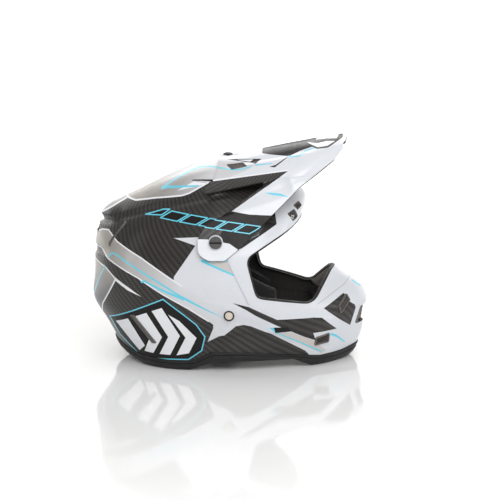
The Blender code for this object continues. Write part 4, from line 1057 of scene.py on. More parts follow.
def build_peak():
    outline = rounded(PEAK_OUTLINE, 8)
    peak_sheet.score(side_view, outline)
    peak_sheet.keep(inside(side_view(peak_sheet.centres()), outline))
    for _, side in SIDES:
        flat, near = frame_view(frame_on_peak(12, side * 54))
        cut_hole(peak_sheet, flat, near, rounded(intake_corners(side), 4))
    for _, side in SIDES:
        hole = [(PIVOT[0] + x, PIVOT[1] + z) for x, z in circle(3.2, 24)]
        cut_hole(peak_sheet, side_view, lambda v, side=side: v[:, 1] * side > 0, hole)
    slot = rounded(((-8.6, -3.2, 3), (8.6, -3.2, 3), (8.6, 3.2, 3), (-8.6, 3.2, 3)), 6)
    top = lambda v: v[:, (0, 1)] + (1.0, 0.0)
    cut_hole(peak_sheet, top, lambda v: v[:, 2] > 240, slot)
    paint = paint_sheet(peak_sheet, PEAK_PANELS, "white")
    mesh = thick_mesh("peak_visor", peak_sheet, 2.5, paint, PAINT_ORDER.index("liner_side"))
    return add_piece("peak_visor", mesh, "peak", "painted_white", "peak", sharp=38)


build_peak()


# ---- sweeps, plates and turned pieces ------------------------------------------------------------
def swept(name, rows, closed_rows, closed_section=True, caps=True):
    """Mesh from rows of section points in millimetres."""
    rows = [np.array(row, float) for row in rows]
    width, count = len(rows[0]), len(rows)
    points = np.vstack(rows)
    faces = []
    for r in range(count if closed_rows else count - 1):
        a, b = r * width, ((r + 1) % count) * width
        for c in range(width if closed_section else width - 1):
            d = (c + 1) % width
            faces.append((a + c, a + d, b + d, b + c))
    if caps and not closed_rows:
        faces += [tuple(range(width))[::-1], tuple(range((count - 1) * width, count * width))]
    return outward(plain_mesh(name, points, faces))


def prism(name, outline, low, high, bevel=0.0, frame=None):
    """Upright plate from an outline in millimetres, its edges rounded, laid in a frame."""
    bm = bmesh.new()
    bottom = [bm.verts.new((u * MM, w * MM, low * MM)) for u, w in outline]
    face = bm.faces.new(bottom)
    made = bmesh.ops.extrude_face_region(bm, geom=[face])
    top = [v for v in made["geom"] if isinstance(v, bmesh.types.BMVert)]
    bmesh.ops.translate(bm, verts=top, vec=(0, 0, (high - low) * MM))
    bmesh.ops.recalc_face_normals(bm, faces=bm.faces)
    if bevel:
        edges = [e for e in bm.edges if e.verts[0].co.z > high * MM - 1e-7 and e.verts[1].co.z > high * MM - 1e-7]
        bmesh.ops.bevel(bm, geom=edges, offset=bevel * MM, segments=3, profile=0.6, affect="EDGES")
    if frame is not None:
        bm.transform(frame)
    mesh = bpy.data.meshes.new(name)
    bm.to_mesh(mesh)
    bm.free()
    return mesh


def turned_mesh(name, profile, frame, steps=64):
    """Solid of revolution about a frame's Z from (radius, height) pairs; ends on the axis are fanned."""
    rows = []
    for radius, height in profile:
        rows.append([(radius * math.cos(2 * math.pi * k / steps), radius * math.sin(2 * math.pi * k / steps), height)
                     for k in range(steps)])
    mesh = swept(name, rows, False)
    mesh.transform(frame)
    return mesh


def joined(name, meshes):
    bm = bmesh.new()
    for mesh in meshes:
        bm.from_mesh(mesh)
    made = bpy.data.meshes.new(name)
    bm.to_mesh(made)
    bm.free()
    return made


def spread_edges(points, distance):
    """Outline moved inwards (positive) or outwards along its corner bisectors."""
    moved = []
    count = len(points)
    turn = sum(a[0] * b[1] - a[1] * b[0] for a, b in zip(points, points[1:] + points[:1]))
    distance = distance if turn > 0 else -distance
    for i, p in enumerate(points):
        here = Vector(p)
        before = (here - Vector(points[i - 1])).normalized()
        after = (Vector(points[(i + 1) % count]) - here).normalized()
        inward = Vector((-before.y - after.y, before.x + after.x))
        inward = inward.normalized() * min(distance / max(inward.length / 2, 0.5), 2.5 * abs(distance), key=abs) \
            if inward.length > 1e-6 else inward
        moved.append(tuple(here + inward))
    return moved


# ---- base trim and eyeport trim ------------------------------------------------------------------
def crossing(line, low, high, count=320):
    """For each step round the shell, the ring value where the surface passes a side-view line."""
    t = np.arange(count) * 10.0 / count
    v = np.linspace(low, high, 400)
    tt, vv = np.meshgrid(t, v)
    points = shell_surface(tt, vv)
    gap = points[..., 2] - np.interp(points[..., 0], *zip(*line))
    first = np.argmax(gap < 0, axis=0)
    share = gap[first - 1, range(count)] / (gap[first - 1, range(count)] - gap[first, range(count)])
    return t, v[first - 1] + (v[first] - v[first - 1]) * share


def build_base_trim():
    t, top = crossing(TRIM_TOP, 8.0, 11.0)
    _, bottom = crossing(TRIM_BOTTOM, 8.0, 11.0)
    section = ((-0.01, -0.4), (-0.02, 0.5), (0.03, 1.3), (0.2, 1.5), (0.24, 1.35), (0.27, 0.3), (0.31, 0.3),
               (0.34, 1.5), (0.40, 2.0), (0.82, 1.7), (0.93, 1.2), (1.0, 0.2), (1.0, -5.2), (0.9, -6.3), (0.5, -6.4),
               (0.1, -6.3), (0.0, -5.6), (0.0, -3.5))
    rows = []
    for share, lift in section:
        v = top + (bottom - top) * share
        p = shell_surface(t, v) + normals_of(shell_surface, t, v, -1) * lift
        p[:, 2] = np.maximum(p[:, 2], 0.0)
        rows.append(p)
    rows = [np.array([row[k] for row in rows]) for k in range(len(t))]
    mesh = swept("base_trim", rows, True)
    add_piece("lower_edge_trim", mesh, "shell", "black_rubber", "base_trim", "rubber", sharp=50)


build_base_trim()


def smooth_loop(points, passes):
    points = np.array(points, float)
    for _ in range(passes):
        points = (np.roll(points, 1, 0) + 2 * points + np.roll(points, -1, 0)) / 4
    return points


def resampled(points, count):
    """Closed line with its points evenly spaced."""
    points = np.array(points, float)
    points = np.vstack((points, points[:1]))
    run = np.concatenate(([0], np.cumsum(np.linalg.norm(np.diff(points[:, :3], axis=0), axis=1))))
    at = np.linspace(0, run[-1], count, endpoint=False)
    return np.stack([np.interp(at, run, points[:, k]) for k in range(points.shape[1])], axis=1)


def build_eyeport_trim():
    loops = shell_sheet.loops()
    port = next(loop for loop in loops if 100 < shell_sheet.v[loop][:, 2].mean() < 190
                and np.ptp(shell_sheet.v[loop][:, 1]) > 120)
    line = resampled(shell_sheet.v[port], 420)
    line = smooth_loop(line, 3)
    normals = line[:, 3:6] / np.linalg.norm(line[:, 3:6], axis=1, keepdims=True)
    normals = smooth_loop(normals, 6)
    normals /= np.linalg.norm(normals, axis=1, keepdims=True)
    tangents = np.roll(line[:, :3], -1, 0) - np.roll(line[:, :3], 1, 0)
    tangents /= np.linalg.norm(tangents, axis=1, keepdims=True)
    across = np.cross(normals, tangents)
    middle = line[:, :3].mean(axis=0)
    if ((middle - line[:, :3]) * across).sum() < 0:
        across = -across
    section = ((-0.5, -0.3), (-0.6, 0.2), (-0.4, 0.45), (0.1, 0.5), (0.8, 0.3), (1.3, -0.3), (1.6, -1.4),
               (1.6, -3.2), (1.1, -4.6), (0.0, -5.2), (-2.0, -5.3), (-3.4, -4.9), (-3.4, -3.6), (0.0, -3.4),
               (0.0, -0.3))
    rows = [[p[:3] + n * w + a * u for u, w in section] for p, n, a in zip(line, normals, across)]
    add_piece("eyeport_edge", swept("eyeport_edge", rows, True), "shell", "black_rubber", "eyeport_trim", "rubber", 50)
    # A thin light-grey bead along the inside of the trim: painted highlight on the trim's edge.
    angles = np.linspace(0, 2 * math.pi, 8, endpoint=False)
    round_section = [(0.4 * math.cos(t), -5.35 + 0.4 * math.sin(t)) for t in angles]
    rows = [[p[:3] + n * w + a * (u - 0.4) for u, w in round_section] for p, n, a in zip(line, normals, across)]
    add_piece("eyeport_highlight_bead", swept("eyeport_highlight_bead", rows, True), "shell", "black_rubber", None, "highlight_bead", 50)


build_eyeport_trim()

# ---- vents, grilles and bezels -------------------------------------------------------------------
def conform(tree, frame, u, w, height):
    """Point above (u, w) of a frame, at a height over the surface below it, in millimetres."""
    turn = frame.to_3x3()
    origin = frame.translation / MM
    start = origin + turn @ Vector((u, w, 14))
    hit = tree.ray_cast(start, turn @ Vector((0, 0, -1)), 40)[0]
    if hit is None:
        hit = origin + turn @ Vector((u, w, 0))
    return hit + turn.col[2] * height


def rings_mesh(name, place, outline, profile, core=False):
    """Closed frame along an outline: profile pairs are (inset, height); core closes the last ring."""
    rows = []
    for i in range(len(outline)):
        rows.append([None] * len(profile))
    for k, (inset, height) in enumerate(profile):
        for i, (u, w) in enumerate(spread_edges(outline, inset) if inset else outline):
            rows[i][k] = place(u, w, height)
    if not core:
        return swept(name, rows, True)
    mesh = swept(name, rows, True, closed_section=False)
    bm = bmesh.new()
    bm.from_mesh(mesh)
    edges = [e for e in bm.edges if e.is_boundary]
    bmesh.ops.holes_fill(bm, edges=edges, sides=0)
    bmesh.ops.triangulate(bm, faces=[f for f in bm.faces if len(f.verts) > 4])
    bmesh.ops.recalc_face_normals(bm, faces=bm.faces)
    bm.to_mesh(mesh)
    bm.free()
    return mesh


def bar_rows(outline, pitch, lean):
    """Chords of a convex outline, one pitch apart, at an angle."""
    turn = Matrix.Rotation(math.radians(lean), 2)
    points = [turn @ Vector(p) for p in outline]
    low, high = min(p.y for p in points), max(p.y for p in points)
    count = int((high - low) / pitch)
    start = low + (high - low - (count - 1) * pitch) / 2 if count else low
    chords = []
    for k in range(count):
        y = start + k * pitch
        xs = []
        for a, b in zip(points, points[1:] + points[:1]):
            if (a.y > y) != (b.y > y):
                xs.append(a.x + (b.x - a.x) * (y - a.y) / (b.y - a.y))
        if len(xs) > 1 and max(xs) - min(xs) > pitch * 0.4:
            back = turn.transposed()
            chords.append((back @ Vector((min(xs), y)), back @ Vector((max(xs), y))))
    return chords


def bar_mesh(name, place, start, end, wide, low, high, steps=8):
    """Bar with chamfered top edges from start to end."""
    along = (end - start).normalized()
    over = Vector((-along.y, along.x))
    section = ((-wide / 2, low), (-wide / 2, high - 0.25), (-wide / 2 + 0.2, high), (wide / 2 - 0.2, high),
               (wide / 2, high - 0.25), (wide / 2, low))
    rows = []
    for k in range(steps + 1):
        at = start + (end - start) * k / steps
        rows.append([place(at.x + over.x * s, at.y + over.y * s, h) for s, h in section])
    return swept(name, rows, False)


def lattice(name, place, outline, pitch, leans, wide, low, high):
    meshes = [
        bar_mesh(name, place, start, end, wide, low - 0.05 * n, high - 0.05 * n)
        for n, lean in enumerate(leans) for start, end in bar_rows(outline, pitch, lean)
    ]
    return joined(name, meshes)


def make_blade(name, frame, outline):
    place = lambda u, w, h: conform(SHELL_TREE, frame, u, w, h)
    body = rings_mesh(name, place, outline, (
        (0.3, -3.6), (0.3, 0.7), (0.45, 1.2), (0.8, 1.5), (1.3, 1.5), (1.55, 1.1), (1.7, 0.3)), core=True)
    chords = bar_rows(spread_edges(outline, 1.4), 4.6, 90)
    ribs = [bar_mesh(name, place, a, b, 1.2, 0.1, 1.15, 3) for a, b in chords]
    return joined(name, [body] + ribs)


def make_louvre(name, frame, outline):
    place = lambda u, w, h: conform(SHELL_TREE, frame, u, w, h)
    bezel = rings_mesh(name, place, outline, (
        (0.3, -3.6), (0.3, 0.9), (0.5, 1.5), (1.0, 1.9), (1.6, 1.7), (1.9, 1.1), (1.9, -3.6)))
    core = spread_edges(outline, 1.7)
    slats = []
    for a, b in bar_rows(core, 3.4, 0.0):
        along = (b - a).normalized()
        over = Vector((-along.y, along.x))
        section = ((-1.3, -2.6), (-1.1, -2.2), (1.1, 0.9), (1.5, 0.8), (1.5, 0.2), (-0.6, -2.9))
        rows = [[place(p.x + over.x * s, p.y + over.y * s, h) for s, h in section]
                for p in (a + (b - a) * k / 6 for k in range(7))]
        slats.append(swept(name, rows, False))
    floor = rings_mesh(name, place, core, ((0, -3.6), (0, -3.0), (0.4, -2.9)), core=True)
    return joined(name, [bezel, floor] + slats)


def make_grille(name, frame, outline):
    place = lambda u, w, h: conform(SHELL_TREE, frame, u, w, h)
    bezel = rings_mesh(name, place, outline, (
        (0.3, -3.6), (0.3, 0.3), (0.6, 0.7), (1.1, 0.6), (1.5, 0.0), (1.6, -3.6)))
    grid = lattice(name, place, spread_edges(outline, 1.4), 3.0, (30, -30), 0.8, -3.4, -2.0)
    return joined(name, [bezel, grid])


def build_vents():
    for name, frame, outline, side in VENTS:
        outline = vent_outline(outline, side)
        if name.startswith("exhaust"):
            mesh, slot, material = make_blade(name + "_blade", frame, outline), "vent_plastic", "vent"
        elif name.startswith("chin"):
            mesh, slot, material = make_louvre(name + "_louvre", frame, outline), "vent_plastic", "vent"
        else:
            mesh, slot, material = make_grille(name + "_grille", frame, outline), "vent_mesh", "mesh"
        add_piece(f"{name}_insert", mesh, "shell", slot, name, material, 40)
    add_piece("rear_vent_grille", make_grille("rear_vent_grille", rear_frame(), REAR_VENT), "shell", "vent_mesh",
              "rear_vent", "mesh", 40)
    hole = rounded(MOUTH, 6)

    def place(u, w, depth):
        hit = SHELL_TREE.ray_cast(Vector((400, u, w)), Vector((-1, 0, 0)))[0]
        return hit + Vector((depth, 0, 0))
    bezel = rings_mesh("mouth_bezel", place, hole, (
        (0.3, -9), (0.3, 0.6), (0.7, 1.5), (1.6, 2.0), (2.6, 1.6), (3.2, 0.6), (3.4, -9)))
    add_piece("mouth_bezel", bezel, "shell", "vent_plastic", "mouth_vent_bezel", "vent", 40)
    grid = lattice("mouth_grille", place, spread_edges(hole, 3.3), 4.6, (0, 90), 1.5, -6.0, -3.2)
    fine = lattice("mouth_grille_fine", place, spread_edges(hole, 3.3), 2.2, (45, -45), 0.6, -7.0, -6.0)
    add_piece("mouth_grille", joined("mouth_grille", [grid, fine]), "shell", "vent_mesh", "mouth_vent_mesh",
              "mesh", 40)
    for name, side in SIDES:
        frame = frame_on_peak(12, side * 54)
        outline = rounded(intake_corners(side), 4)
        place = lambda u, w, h, frame=frame: conform(PEAK_TREE, frame, u, w, h)
        rim = rings_mesh(f"peak_intake_{name}", place, outline, (
            (0.4, -2.2), (0.4, -0.1), (0.8, 0.2), (1.3, 0.0), (1.5, -2.2)))
        grid = lattice("intake_bars", place, spread_edges(outline, 1.3), 2.6, (35, -35), 0.9, -1.9, -0.6)
        add_piece(f"peak_intake_{name}", joined(f"peak_intake_{name}", [rim, grid]), "peak", "vent_mesh",
                  f"peak_intake_mesh_{name}", "mesh", 40)


build_vents()


def build_nose_lining():
    """Soft grey lip behind the edge of the mouthpiece, just under the eyeport."""
    edge = ((-80, 84), (39, 97), (109, 84), (135, 120), (230, 121))
    around, edges = crossing(edge, 5.5, 9.0)
    picks = list(range(-52, 53))
    section = ((0.0, 3.6), (-0.02, 4.6), (0.02, 6.0), (0.10, 7.0), (0.3, 7.4), (0.5, 7.2), (0.68, 6.2), (0.72, 4.4),
               (0.5, 3.6), (0.2, 3.6))
    tops = smooth_loop(np.array([edges[k] for k in picks]), 4)
    tops[:4], tops[-4:] = tops[4], tops[-5]
    rows = []
    for k, (index, top) in enumerate(zip(picks, tops)):
        ends = min(k, len(picks) - 1 - k, 4) / 4
        row = []
        for down, depth in section:
            a, v = np.array([around[index] % 10]), np.array([top + 0.055 + down * (0.35 + 0.65 * ends)])
            depth = 3.6 + (depth - 3.6) * (0.3 + 0.7 * ends)
            row.append((shell_surface(a, v) - normals_of(shell_surface, a, v, -1) * depth)[0])
        rows.append(row)
    add_piece("nose_lining", swept("nose_lining", rows, False), "shell", "foam_grey", None, "nose", 50)


build_nose_lining()


# ---- screws and rivets ---------------------------------------------------------------------------
def screw_meshes(name, frame, radius, height, length, ridges):
    """Slotted thumb screw with a ribbed edge: its body, and the raised face on either side of the slot."""
    steps = ridges * 4
    profile = ((0.0, -length), (2.3, -length), (2.3, 0.0), (radius - 0.5, 0.0), (radius, 0.4), (radius, height - 1.7),
               (radius - 0.4, height - 1.5), (0.0, height - 1.5))
    rows = []
    for r, h in profile:
        row = []
        for k in range(steps):
            wave = 0.28 * (0.5 + 0.5 * math.cos(math.pi * k / 2)) if r > radius - 0.3 else 0.0
            angle = 2 * math.pi * k / steps
            row.append(((r - wave) * math.cos(angle), (r - wave) * math.sin(angle), h))
        rows.append(row)
    base = swept(f"{name}_base", rows, False)
    base.transform(frame)
    halves = []
    for sign in (-1, 1):
        rim = radius - 0.6
        first = math.asin(1.25 / rim)
        arc = [first + (math.pi - 2 * first) * k / 20 for k in range(21)]
        outline = [(rim * math.cos(a), sign * rim * math.sin(a)) for a in arc]
        halves.append(prism(name, outline if sign > 0 else outline[::-1], height - 1.7, height, 0.35, frame))
        inner = radius - 2.2
        first = math.asin(2.6 / inner)
        arc = [first + (math.pi - 2 * first) * k / 14 for k in range(15)]
        outline = [(inner * math.cos(a), sign * inner * math.sin(a)) for a in arc]
        if inner > 4:
            halves.append(prism(name, outline if sign > 0 else outline[::-1], height - 0.3, height + 0.5, 0.3, frame))
    return base, joined(name, halves)


def add_screw(name, meshes, node):
    # The screw body takes the dark rubber colour and the raised faces a lighter grey, so the slot floor reads dark:
    # painted shade in the slot.
    add_piece(name, meshes[0], node, "screw_plastic", node, "rubber", 40)
    add_piece(f"{name}_face", meshes[1], node, "screw_plastic", None, "screw", 40)


def build_screws():
    x, z = PIVOT
    for name, side in SIDES:
        low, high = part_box(f"peak_screw_{name}")
        face = (high.y if side > 0 else low.y) / MM
        seat = axis_frame((x, face - side * 3.4, z), (0, side, 0))
        length = (high.y - low.y) / MM - 3.4
        meshes = screw_meshes(f"side_screw_{name}", seat, 7.9, 3.3, length, 26)
        add_screw(f"side_screw_{name}", meshes, f"peak_screw_{name}")
        boss = peak_face(side)
        washer = turned_mesh(f"screw_seat_{name}", ((3.4, -0.6), (9.0, -0.6), (9.0, face * side - 3.45 - boss - 0.4),
                             (8.6, face * side - 3.45 - boss), (3.4, face * side - 3.45 - boss)),
                             axis_frame((x, side * boss, z), (0, side, 0)), 48)
        add_piece(f"screw_seat_{name}", washer, "peak", "painted_white", None, "white", 40)
    low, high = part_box("peak_screw_top")
    sunk = 0.7   # as low as the head can sit and still clear the peak at its upper limit
    seat = axis_frame(((low.x + high.x) / 2 / MM, 0, high.z / MM - sunk), (0, 0, 1))
    meshes = screw_meshes("top_screw", seat, 6.4, 2.3, (high.z - low.z) / MM - sunk, 22)
    add_screw("top_screw", meshes, "peak_screw_top")


def peak_face(side):
    return PEAK_TREE.ray_cast(Vector((PIVOT[0], side * 300, PIVOT[1] + 5)), Vector((0, -side, 0)))[0].y * side


build_screws()


def build_rivets():
    x, z = RIVET
    for name, side in SIDES:
        hit, _ = shell_hit((x, side * 300, z), (0, -side, 0))
        face = abs(hit.y) + 1.3
        low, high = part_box(f"strap_rivet_{name}")
        inner = min(abs(low.y), abs(high.y)) / MM - face
        frame = axis_frame((x, side * face, z), (0, side, 0))
        cap = turned_mesh(f"rivet_cap_{name}", (
            (0, 2.0), (2.0, 1.95), (3.6, 1.75), (4.6, 1.35), (4.9, 0.9), (4.9, 0.0), (2.5, 0.0), (2.5, inner + 1.6),
            (4.6, inner + 1.6), (4.9, inner + 1.0), (4.6, inner), (0, inner)), frame, 48)
        add_piece(f"rivet_cap_{name}", cap, "shell", "rivet_enamel", f"strap_rivet_{name}", "enamel", 40)
        ring = turned_mesh(f"rivet_ring_{name}", (
            (5.0, -1.2), (5.0, 1.0), (5.3, 1.45), (6.0, 1.4), (6.5, 0.8), (6.6, -1.2)), frame, 48)
        bm = bmesh.new()
        bm.from_mesh(ring)
        bm.faces.ensure_lookup_table()
        bmesh.ops.delete(bm, geom=[f for f in bm.faces if len(f.verts) > 4], context="FACES_ONLY")
        bmesh.ops.bridge_loops(bm, edges=[e for e in bm.edges if e.is_boundary])
        bmesh.ops.recalc_face_normals(bm, faces=bm.faces)
        bm.to_mesh(ring)
        bm.free()
        add_piece(f"rivet_ring_{name}", ring, "shell", "black_rubber", None, "rubber", 40)


build_rivets()


# ---- chin strap ----------------------------------------------------------------------------------
def open_line(points, s):
    points = np.array(points, float)
    points = np.vstack((2 * points[:1] - points[1:2], points, 2 * points[-1:] - points[-2:-1],
                        2 * points[-1:] - points[-2:-1]))
    first = min(int(s), len(points) - 4)
    return sum(w * points[first + k] for k, w in enumerate(weights(s - first)))


def strap_line(side, end):
    """Path of one strap half in the Y-Z plane, from above its rivet down and across."""
    step = 0.05
    hit, _ = shell_hit((RIVET[0], 300, RIVET[1]), (0, -1, 0))
    top, z = hit.y - 8.5, RIVET[1]
    controls = [
        (top, z + 10), (top - 2.6, z - 13), (95.5, 41), (88.5, 24), (62, 14.5), (30, 10.5), (0, 9.5),
        (-30, 10.5), (-62, 14.5), (-88.5, 24),
    ]
    dense = [open_line(controls, k * step) for k in range(int(9 / step) + 1)]
    return [np.array((side * p[0], p[1])) for p in dense if p[0] >= end]


def frames_along(path):
    made = []
    for i, p in enumerate(path):
        ahead = path[min(i + 1, len(path) - 1)] - path[max(i - 1, 0)]
        normal = np.array((-ahead[1], ahead[0])) / np.linalg.norm(ahead)
        made.append((p, normal))
    return made


def band_mesh(name, path, section, centre=RIVET[0]):
    """Section points (x, lift) carried along a path in the Y-Z plane."""
    rows = []
    for p, normal in frames_along(path):
        rows.append([(centre + x, p[0] + normal[0] * lift, p[1] + normal[1] * lift) for x, lift in section])
    return swept(name, rows, False)


def ribbon_section(wide, thick, lift):
    half = wide / 2
    top, low = lift + thick / 2, lift - thick / 2
    upper = [(x * half, top + 0.10 * (1 if k % 2 else -1)) for k, x in enumerate(np.linspace(-0.92, 0.92, 21))]
    lower = [(x * half, low - 0.10 * (1 if k % 2 else -1)) for k, x in enumerate(np.linspace(0.92, -0.92, 21))]
    return [(-half, lift)] + upper + [(half, lift)] + lower


def stitch_rows(path, xs, lift, every=3):
    """Short threads lying on the ribbon, one every few steps of its path."""
    meshes = []
    framed = frames_along(path)
    for x in xs:
        for i in range(1, len(framed) - 2, every):
            (a, n), (b, m) = framed[i], framed[i + 1]
            rows = []
            for share, rise in ((0, -0.15), (0.25, 0.22), (0.75, 0.22), (1, -0.15)):
                p, q = a + (b - a) * share * 0.8, n + (m - n) * share
                rows.append([(RIVET[0] + x + 0.28 * math.cos(t), p[0] + q[0] * (lift + rise + 0.28 * math.sin(t)),
                              p[1] + q[1] * (lift + rise + 0.28 * math.sin(t)))
                             for t in (0, math.pi / 3, 2 * math.pi / 3, math.pi, 4 * math.pi / 3, 5 * math.pi / 3)])
            meshes.append(swept("thread", rows, False))
    return meshes


def build_straps():
    section = ribbon_section(25, 1.5, 1.0)
    for name, side, end in (("right", -1, 24), ("left", 1, -72)):
        path = strap_line(side, end)
        mesh = band_mesh(f"webbing_{name}", path, section)
        add_piece(f"webbing_{name}", mesh, "chin_strap", "webbing", f"chin_strap_{name}", "webbing", 50)
        threads = joined(f"stitching_{name}", stitch_rows(path[:40], (-10.4, 10.4), 1.9) +
                         stitch_rows(path[:40], (-10.4, 10.4), 0.1))
        add_piece(f"stitching_{name}", threads, "chin_strap", "webbing", None, "thread", 60)
    for index in (1, 2):
        low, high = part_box(f"d_ring_{index}")
        build_ring(index, low / MM, high / MM)
    low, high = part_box("strap_snap")
    middle = (low + high) / 2 / MM
    frame = axis_frame((middle.x, middle.y, high.z / MM - 0.1), (0, 0, -1))
    height = (high.z - low.z) / MM
    snap = turned_mesh("snap_button", ((0, 0.0), (5.6, 0.0), (6.0, 0.4), (5.9, 1.0), (5.0, height - 0.8),
                                       (4.4, height - 0.2), (3.2, height), (2.6, height - 0.5), (0, height - 0.6)),
                       frame, 40)
    add_piece("snap_button", snap, "chin_strap", "steel", "strap_snap", "steel", 40)


def build_ring(index, low, high):
    """D-shaped loop of round rod round the strap."""
    centre = (low + high) / 2
    wide, tall = (high.x - low.x) / 2 - 1.3, (high.z - low.z) / 2 - 1.3
    lean = (high.y - low.y) / 2 - 1.6
    path = []
    for k in range(64):
        a = 2 * math.pi * k / 64
        x = math.copysign(abs(math.cos(a)) ** 0.42, math.cos(a)) * wide
        z = math.copysign(abs(math.sin(a)) ** 0.7, math.sin(a)) * tall
        path.append(Vector((centre.x + x, centre.y + lean * z / tall * 0.6, centre.z + z)))
    rows = []
    for i, p in enumerate(path):
        along = (path[(i + 1) % 64] - path[i - 1]).normalized()
        side = along.cross(Vector((0, 1, 0))).normalized()
        up = side.cross(along)
        rows.append([p + side * 1.3 * math.cos(t) + up * 1.3 * math.sin(t)
                     for t in np.linspace(0, 2 * math.pi, 12, endpoint=False)])
    add_piece(f"steel_ring_{index}", swept(f"steel_ring_{index}", rows, True), "chin_strap", "steel",
              f"d_ring_{index}", "steel", 50)


build_straps()


# ---- padding -------------------------------------------------------------------------------------
def soft_piece(name, node, body, material, voxel, shrink, pressure, cap):
    """Pad pushed out from the CAD pad's form: remeshed, blown up as cloth, capped and smoothed."""
    mesh = frame["nodes"][node].data.copy()
    mesh.name = name
    piece = bpy.data.objects.new(name, mesh)
    SCENE.collection.objects.link(piece)
    mesh.materials.clear()
    bm = bmesh.new()
    bm.from_mesh(mesh)
    bmesh.ops.remove_doubles(bm, verts=bm.verts, dist=1e-5)
    bm.to_mesh(mesh)
    bm.free()
    remesh = piece.modifiers.new("remesh", "REMESH")
    remesh.mode = "VOXEL"
    remesh.voxel_size = voxel * MM
    settle(piece)
    bm = bmesh.new()
    bm.from_mesh(piece.data)
    bmesh.ops.smooth_vert(bm, verts=bm.verts, factor=0.5, use_axis_x=True, use_axis_y=True, use_axis_z=True)
    bm.normal_update()
    for vert in bm.verts:
        vert.co -= vert.normal * shrink * MM
    bm.to_mesh(piece.data)
    bm.free()
    blow_up(piece, pressure, cap)
    smooth = piece.modifiers.new("smooth", "SUBSURF")
    smooth.levels = smooth.render_levels = 1
    settle(piece)
    piece.data.shade_smooth()
    give(piece, material)
    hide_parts(node)
    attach(piece, body)
    return piece


def settle(piece):
    """Applies the modifiers."""
    graph = bpy.context.evaluated_depsgraph_get()
    fresh = bpy.data.meshes.new_from_object(piece.evaluated_get(graph))
    piece.modifiers.clear()
    piece.data = fresh


def blow_up(piece, pressure, cap):
    start = np.array([v.co for v in piece.data.vertices])
    cloth = piece.modifiers.new("cloth", "CLOTH")
    cloth.settings.quality = 5
    cloth.settings.mass = 0.3
    cloth.settings.tension_stiffness = 15
    cloth.settings.compression_stiffness = 15
    cloth.settings.shear_stiffness = 5
    cloth.settings.bending_stiffness = 0.5
    cloth.settings.use_pressure = True
    cloth.settings.uniform_pressure_force = pressure
    cloth.settings.effector_weights.gravity = 0.0
    cloth.point_cache.frame_start = 1
    cloth.point_cache.frame_end = 20
    for step in range(1, 21):
        SCENE.frame_set(step)
    graph = bpy.context.evaluated_depsgraph_get()
    fresh = bpy.data.meshes.new_from_object(piece.evaluated_get(graph))
    end = np.array([v.co for v in fresh.vertices])
    piece.modifiers.clear()
    SCENE.frame_set(1)
    move = end - start
    length = np.linalg.norm(move, axis=1, keepdims=True)
    move *= np.minimum(1.0, cap * MM / np.maximum(length, 1e-9))
    fresh.vertices.foreach_set("co", (start + move).astype(np.float32).ravel())
    piece.data = fresh


for side_name, _ in SIDES:
    soft_piece(f"cheek_cushion_{side_name}", f"cheek_pad_{side_name}", f"cheek_pad_{side_name}",
               "knit", 4.0, 1.2, 4.0, 2.2)
soft_piece("neck_cushion", "neck_roll", "shell", "suede", 4.5, 1.0, 4.0, 2.0)
soft_piece("crown_cushion", "crown_pad", "floating_liner", "knit", 4.0, 0.5, 3.0, 1.2)
soft_piece("strap_cushion", "strap_sleeve", "chin_strap", "suede", 2.0, 0.2, 3.0, 1.0)

# ---- carried parts' materials --------------------------------------------------------------------
KEPT = {
    # chin_bar_foam takes the lighter lip colour: painted light on the lit inside of the chin bar.
    "inner_liner": "grey_foam", "outer_liner": "black_foam", "chin_bar_foam": "lip",
    "cheek_foam_right": "black_foam", "cheek_foam_left": "black_foam", "peak_insert_right": "brass",
    "peak_insert_left": "brass", "peak_insert_top": "brass",
}
KEPT.update({f"liner_damper_{k}": "damper" for k in range(1, 9)})
for node, material in KEPT.items():
    give(frame["nodes"][node], material)


# ---- stage ---------------------------------------------------------------------------------------
AIM = Vector((27.4, 0, 138)) * MM
TURN, RISE = math.radians(1.75), math.radians(9.5)
VIEW = Vector((-math.sin(TURN) * math.cos(RISE), math.cos(TURN) * math.cos(RISE), -math.sin(RISE)))


def lamp(name, place, aim, size, power):
    data = bpy.data.lights.new(name, "AREA")
    data.shape = "RECTANGLE"
    data.size, data.size_y = size
    data.energy = power
    made = bpy.data.objects.new(name, data)
    SCENE.collection.objects.link(made)
    made.location = place
    made.rotation_euler = (Vector(aim) - Vector(place)).to_track_quat("-Z", "Y").to_euler()
    return made


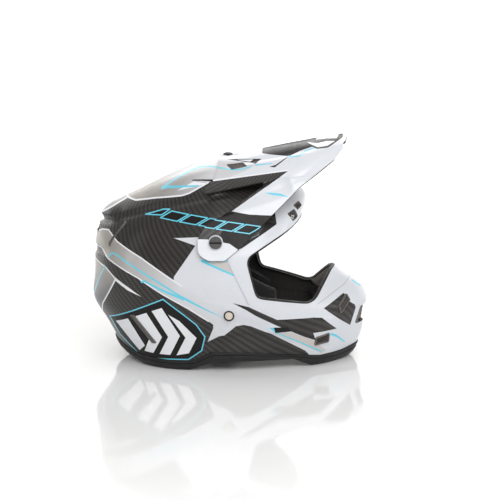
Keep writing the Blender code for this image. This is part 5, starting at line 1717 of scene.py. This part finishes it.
def build_stage():
    floor_paint = Shader("studio_floor", Roughness=0.07)
    floor_paint.surface.inputs["Specular IOR Level"].default_value = 0.5
    floor_paint.set("Base Color", floor_paint.mix(floor_paint.span(floor_paint.noise(1.4), 0.3, 0.7),
                                                  (0.88, 0.875, 0.87), (0.91, 0.908, 0.905)))
    distance = floor_paint.node("VectorMath", floor_paint.position(), operation="LENGTH")
    far = floor_paint.span(distance.outputs["Value"], 0.4, 3.5, 0.02, 0.85)
    floor_paint.set("Emission Color", (1.0, 0.995, 0.99, 1.0))
    floor_paint.set("Emission Strength", far)
    half, radius = 9.0, 2.5
    profile = [(-half, 0.0)] + [(6.0 + radius * math.sin(a), radius - radius * math.cos(a))
                                for a in np.linspace(0, math.pi / 2, 16)] + [(6.0 + radius, 9.0)]
    points, faces = [], []
    for x in (-half * 1.6, half * 1.6):
        points += [(x, y, z - 0.0003) for y, z in profile]
    count = len(profile)
    for k in range(count - 1):
        faces.append((k, count + k, count + k + 1, k + 1))
    mesh = bpy.data.meshes.new("studio_sweep")
    mesh.from_pydata(points, [], faces)
    floor = bpy.data.objects.new("studio_sweep", mesh)
    SCENE.collection.objects.link(floor)
    mesh.shade_smooth()
    mesh.materials.append(floor_paint.material)
    floor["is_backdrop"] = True
    world = bpy.data.worlds.new("studio")
    SCENE.world = world
    world.use_nodes = True
    world.node_tree.nodes["Background"].inputs[0].default_value = (1.0, 0.995, 0.99, 1)
    world.node_tree.nodes["Background"].inputs[1].default_value = 0.32
    lamp("key_front", (0.45, -1.7, 1.35), (0, 0, 0.13), (1.7, 1.1), 28.5)
    lamp("top_soft", (-0.1, 0.1, 1.6), (0, 0, 0.15), (1.3, 1.3), 5)
    lamp("left_fill", (-1.6, -0.7, 0.7), (0, 0, 0.15), (0.6, 1.3), 2)
    lamp("right_strip", (1.7, -0.4, 0.8), (0.05, 0, 0.15), (0.6, 1.3), 5)
    lamp("back_rim", (0.1, 1.6, 1.1), (0, 0, 0.15), (1.8, 0.9), 8)
    camera_data = bpy.data.cameras.new("camera")
    camera_data.lens = 104.8
    camera_data.sensor_width = 36.0
    camera = bpy.data.objects.new("camera", camera_data)
    SCENE.collection.objects.link(camera)
    camera.location = AIM - VIEW * 1.9
    camera.rotation_euler = VIEW.to_track_quat("-Z", "Y").to_euler()
    SCENE.camera = camera
    SCENE.view_settings.view_transform = "Standard"
    SCENE.view_settings.exposure = 0.0


build_stage()

VISUAL_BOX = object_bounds()
boxes = {"cad": CAD_BOX, "visual": VISUAL_BOX}
{name: [list(map(float, p)) for p in box] for name, box in boxes.items()}
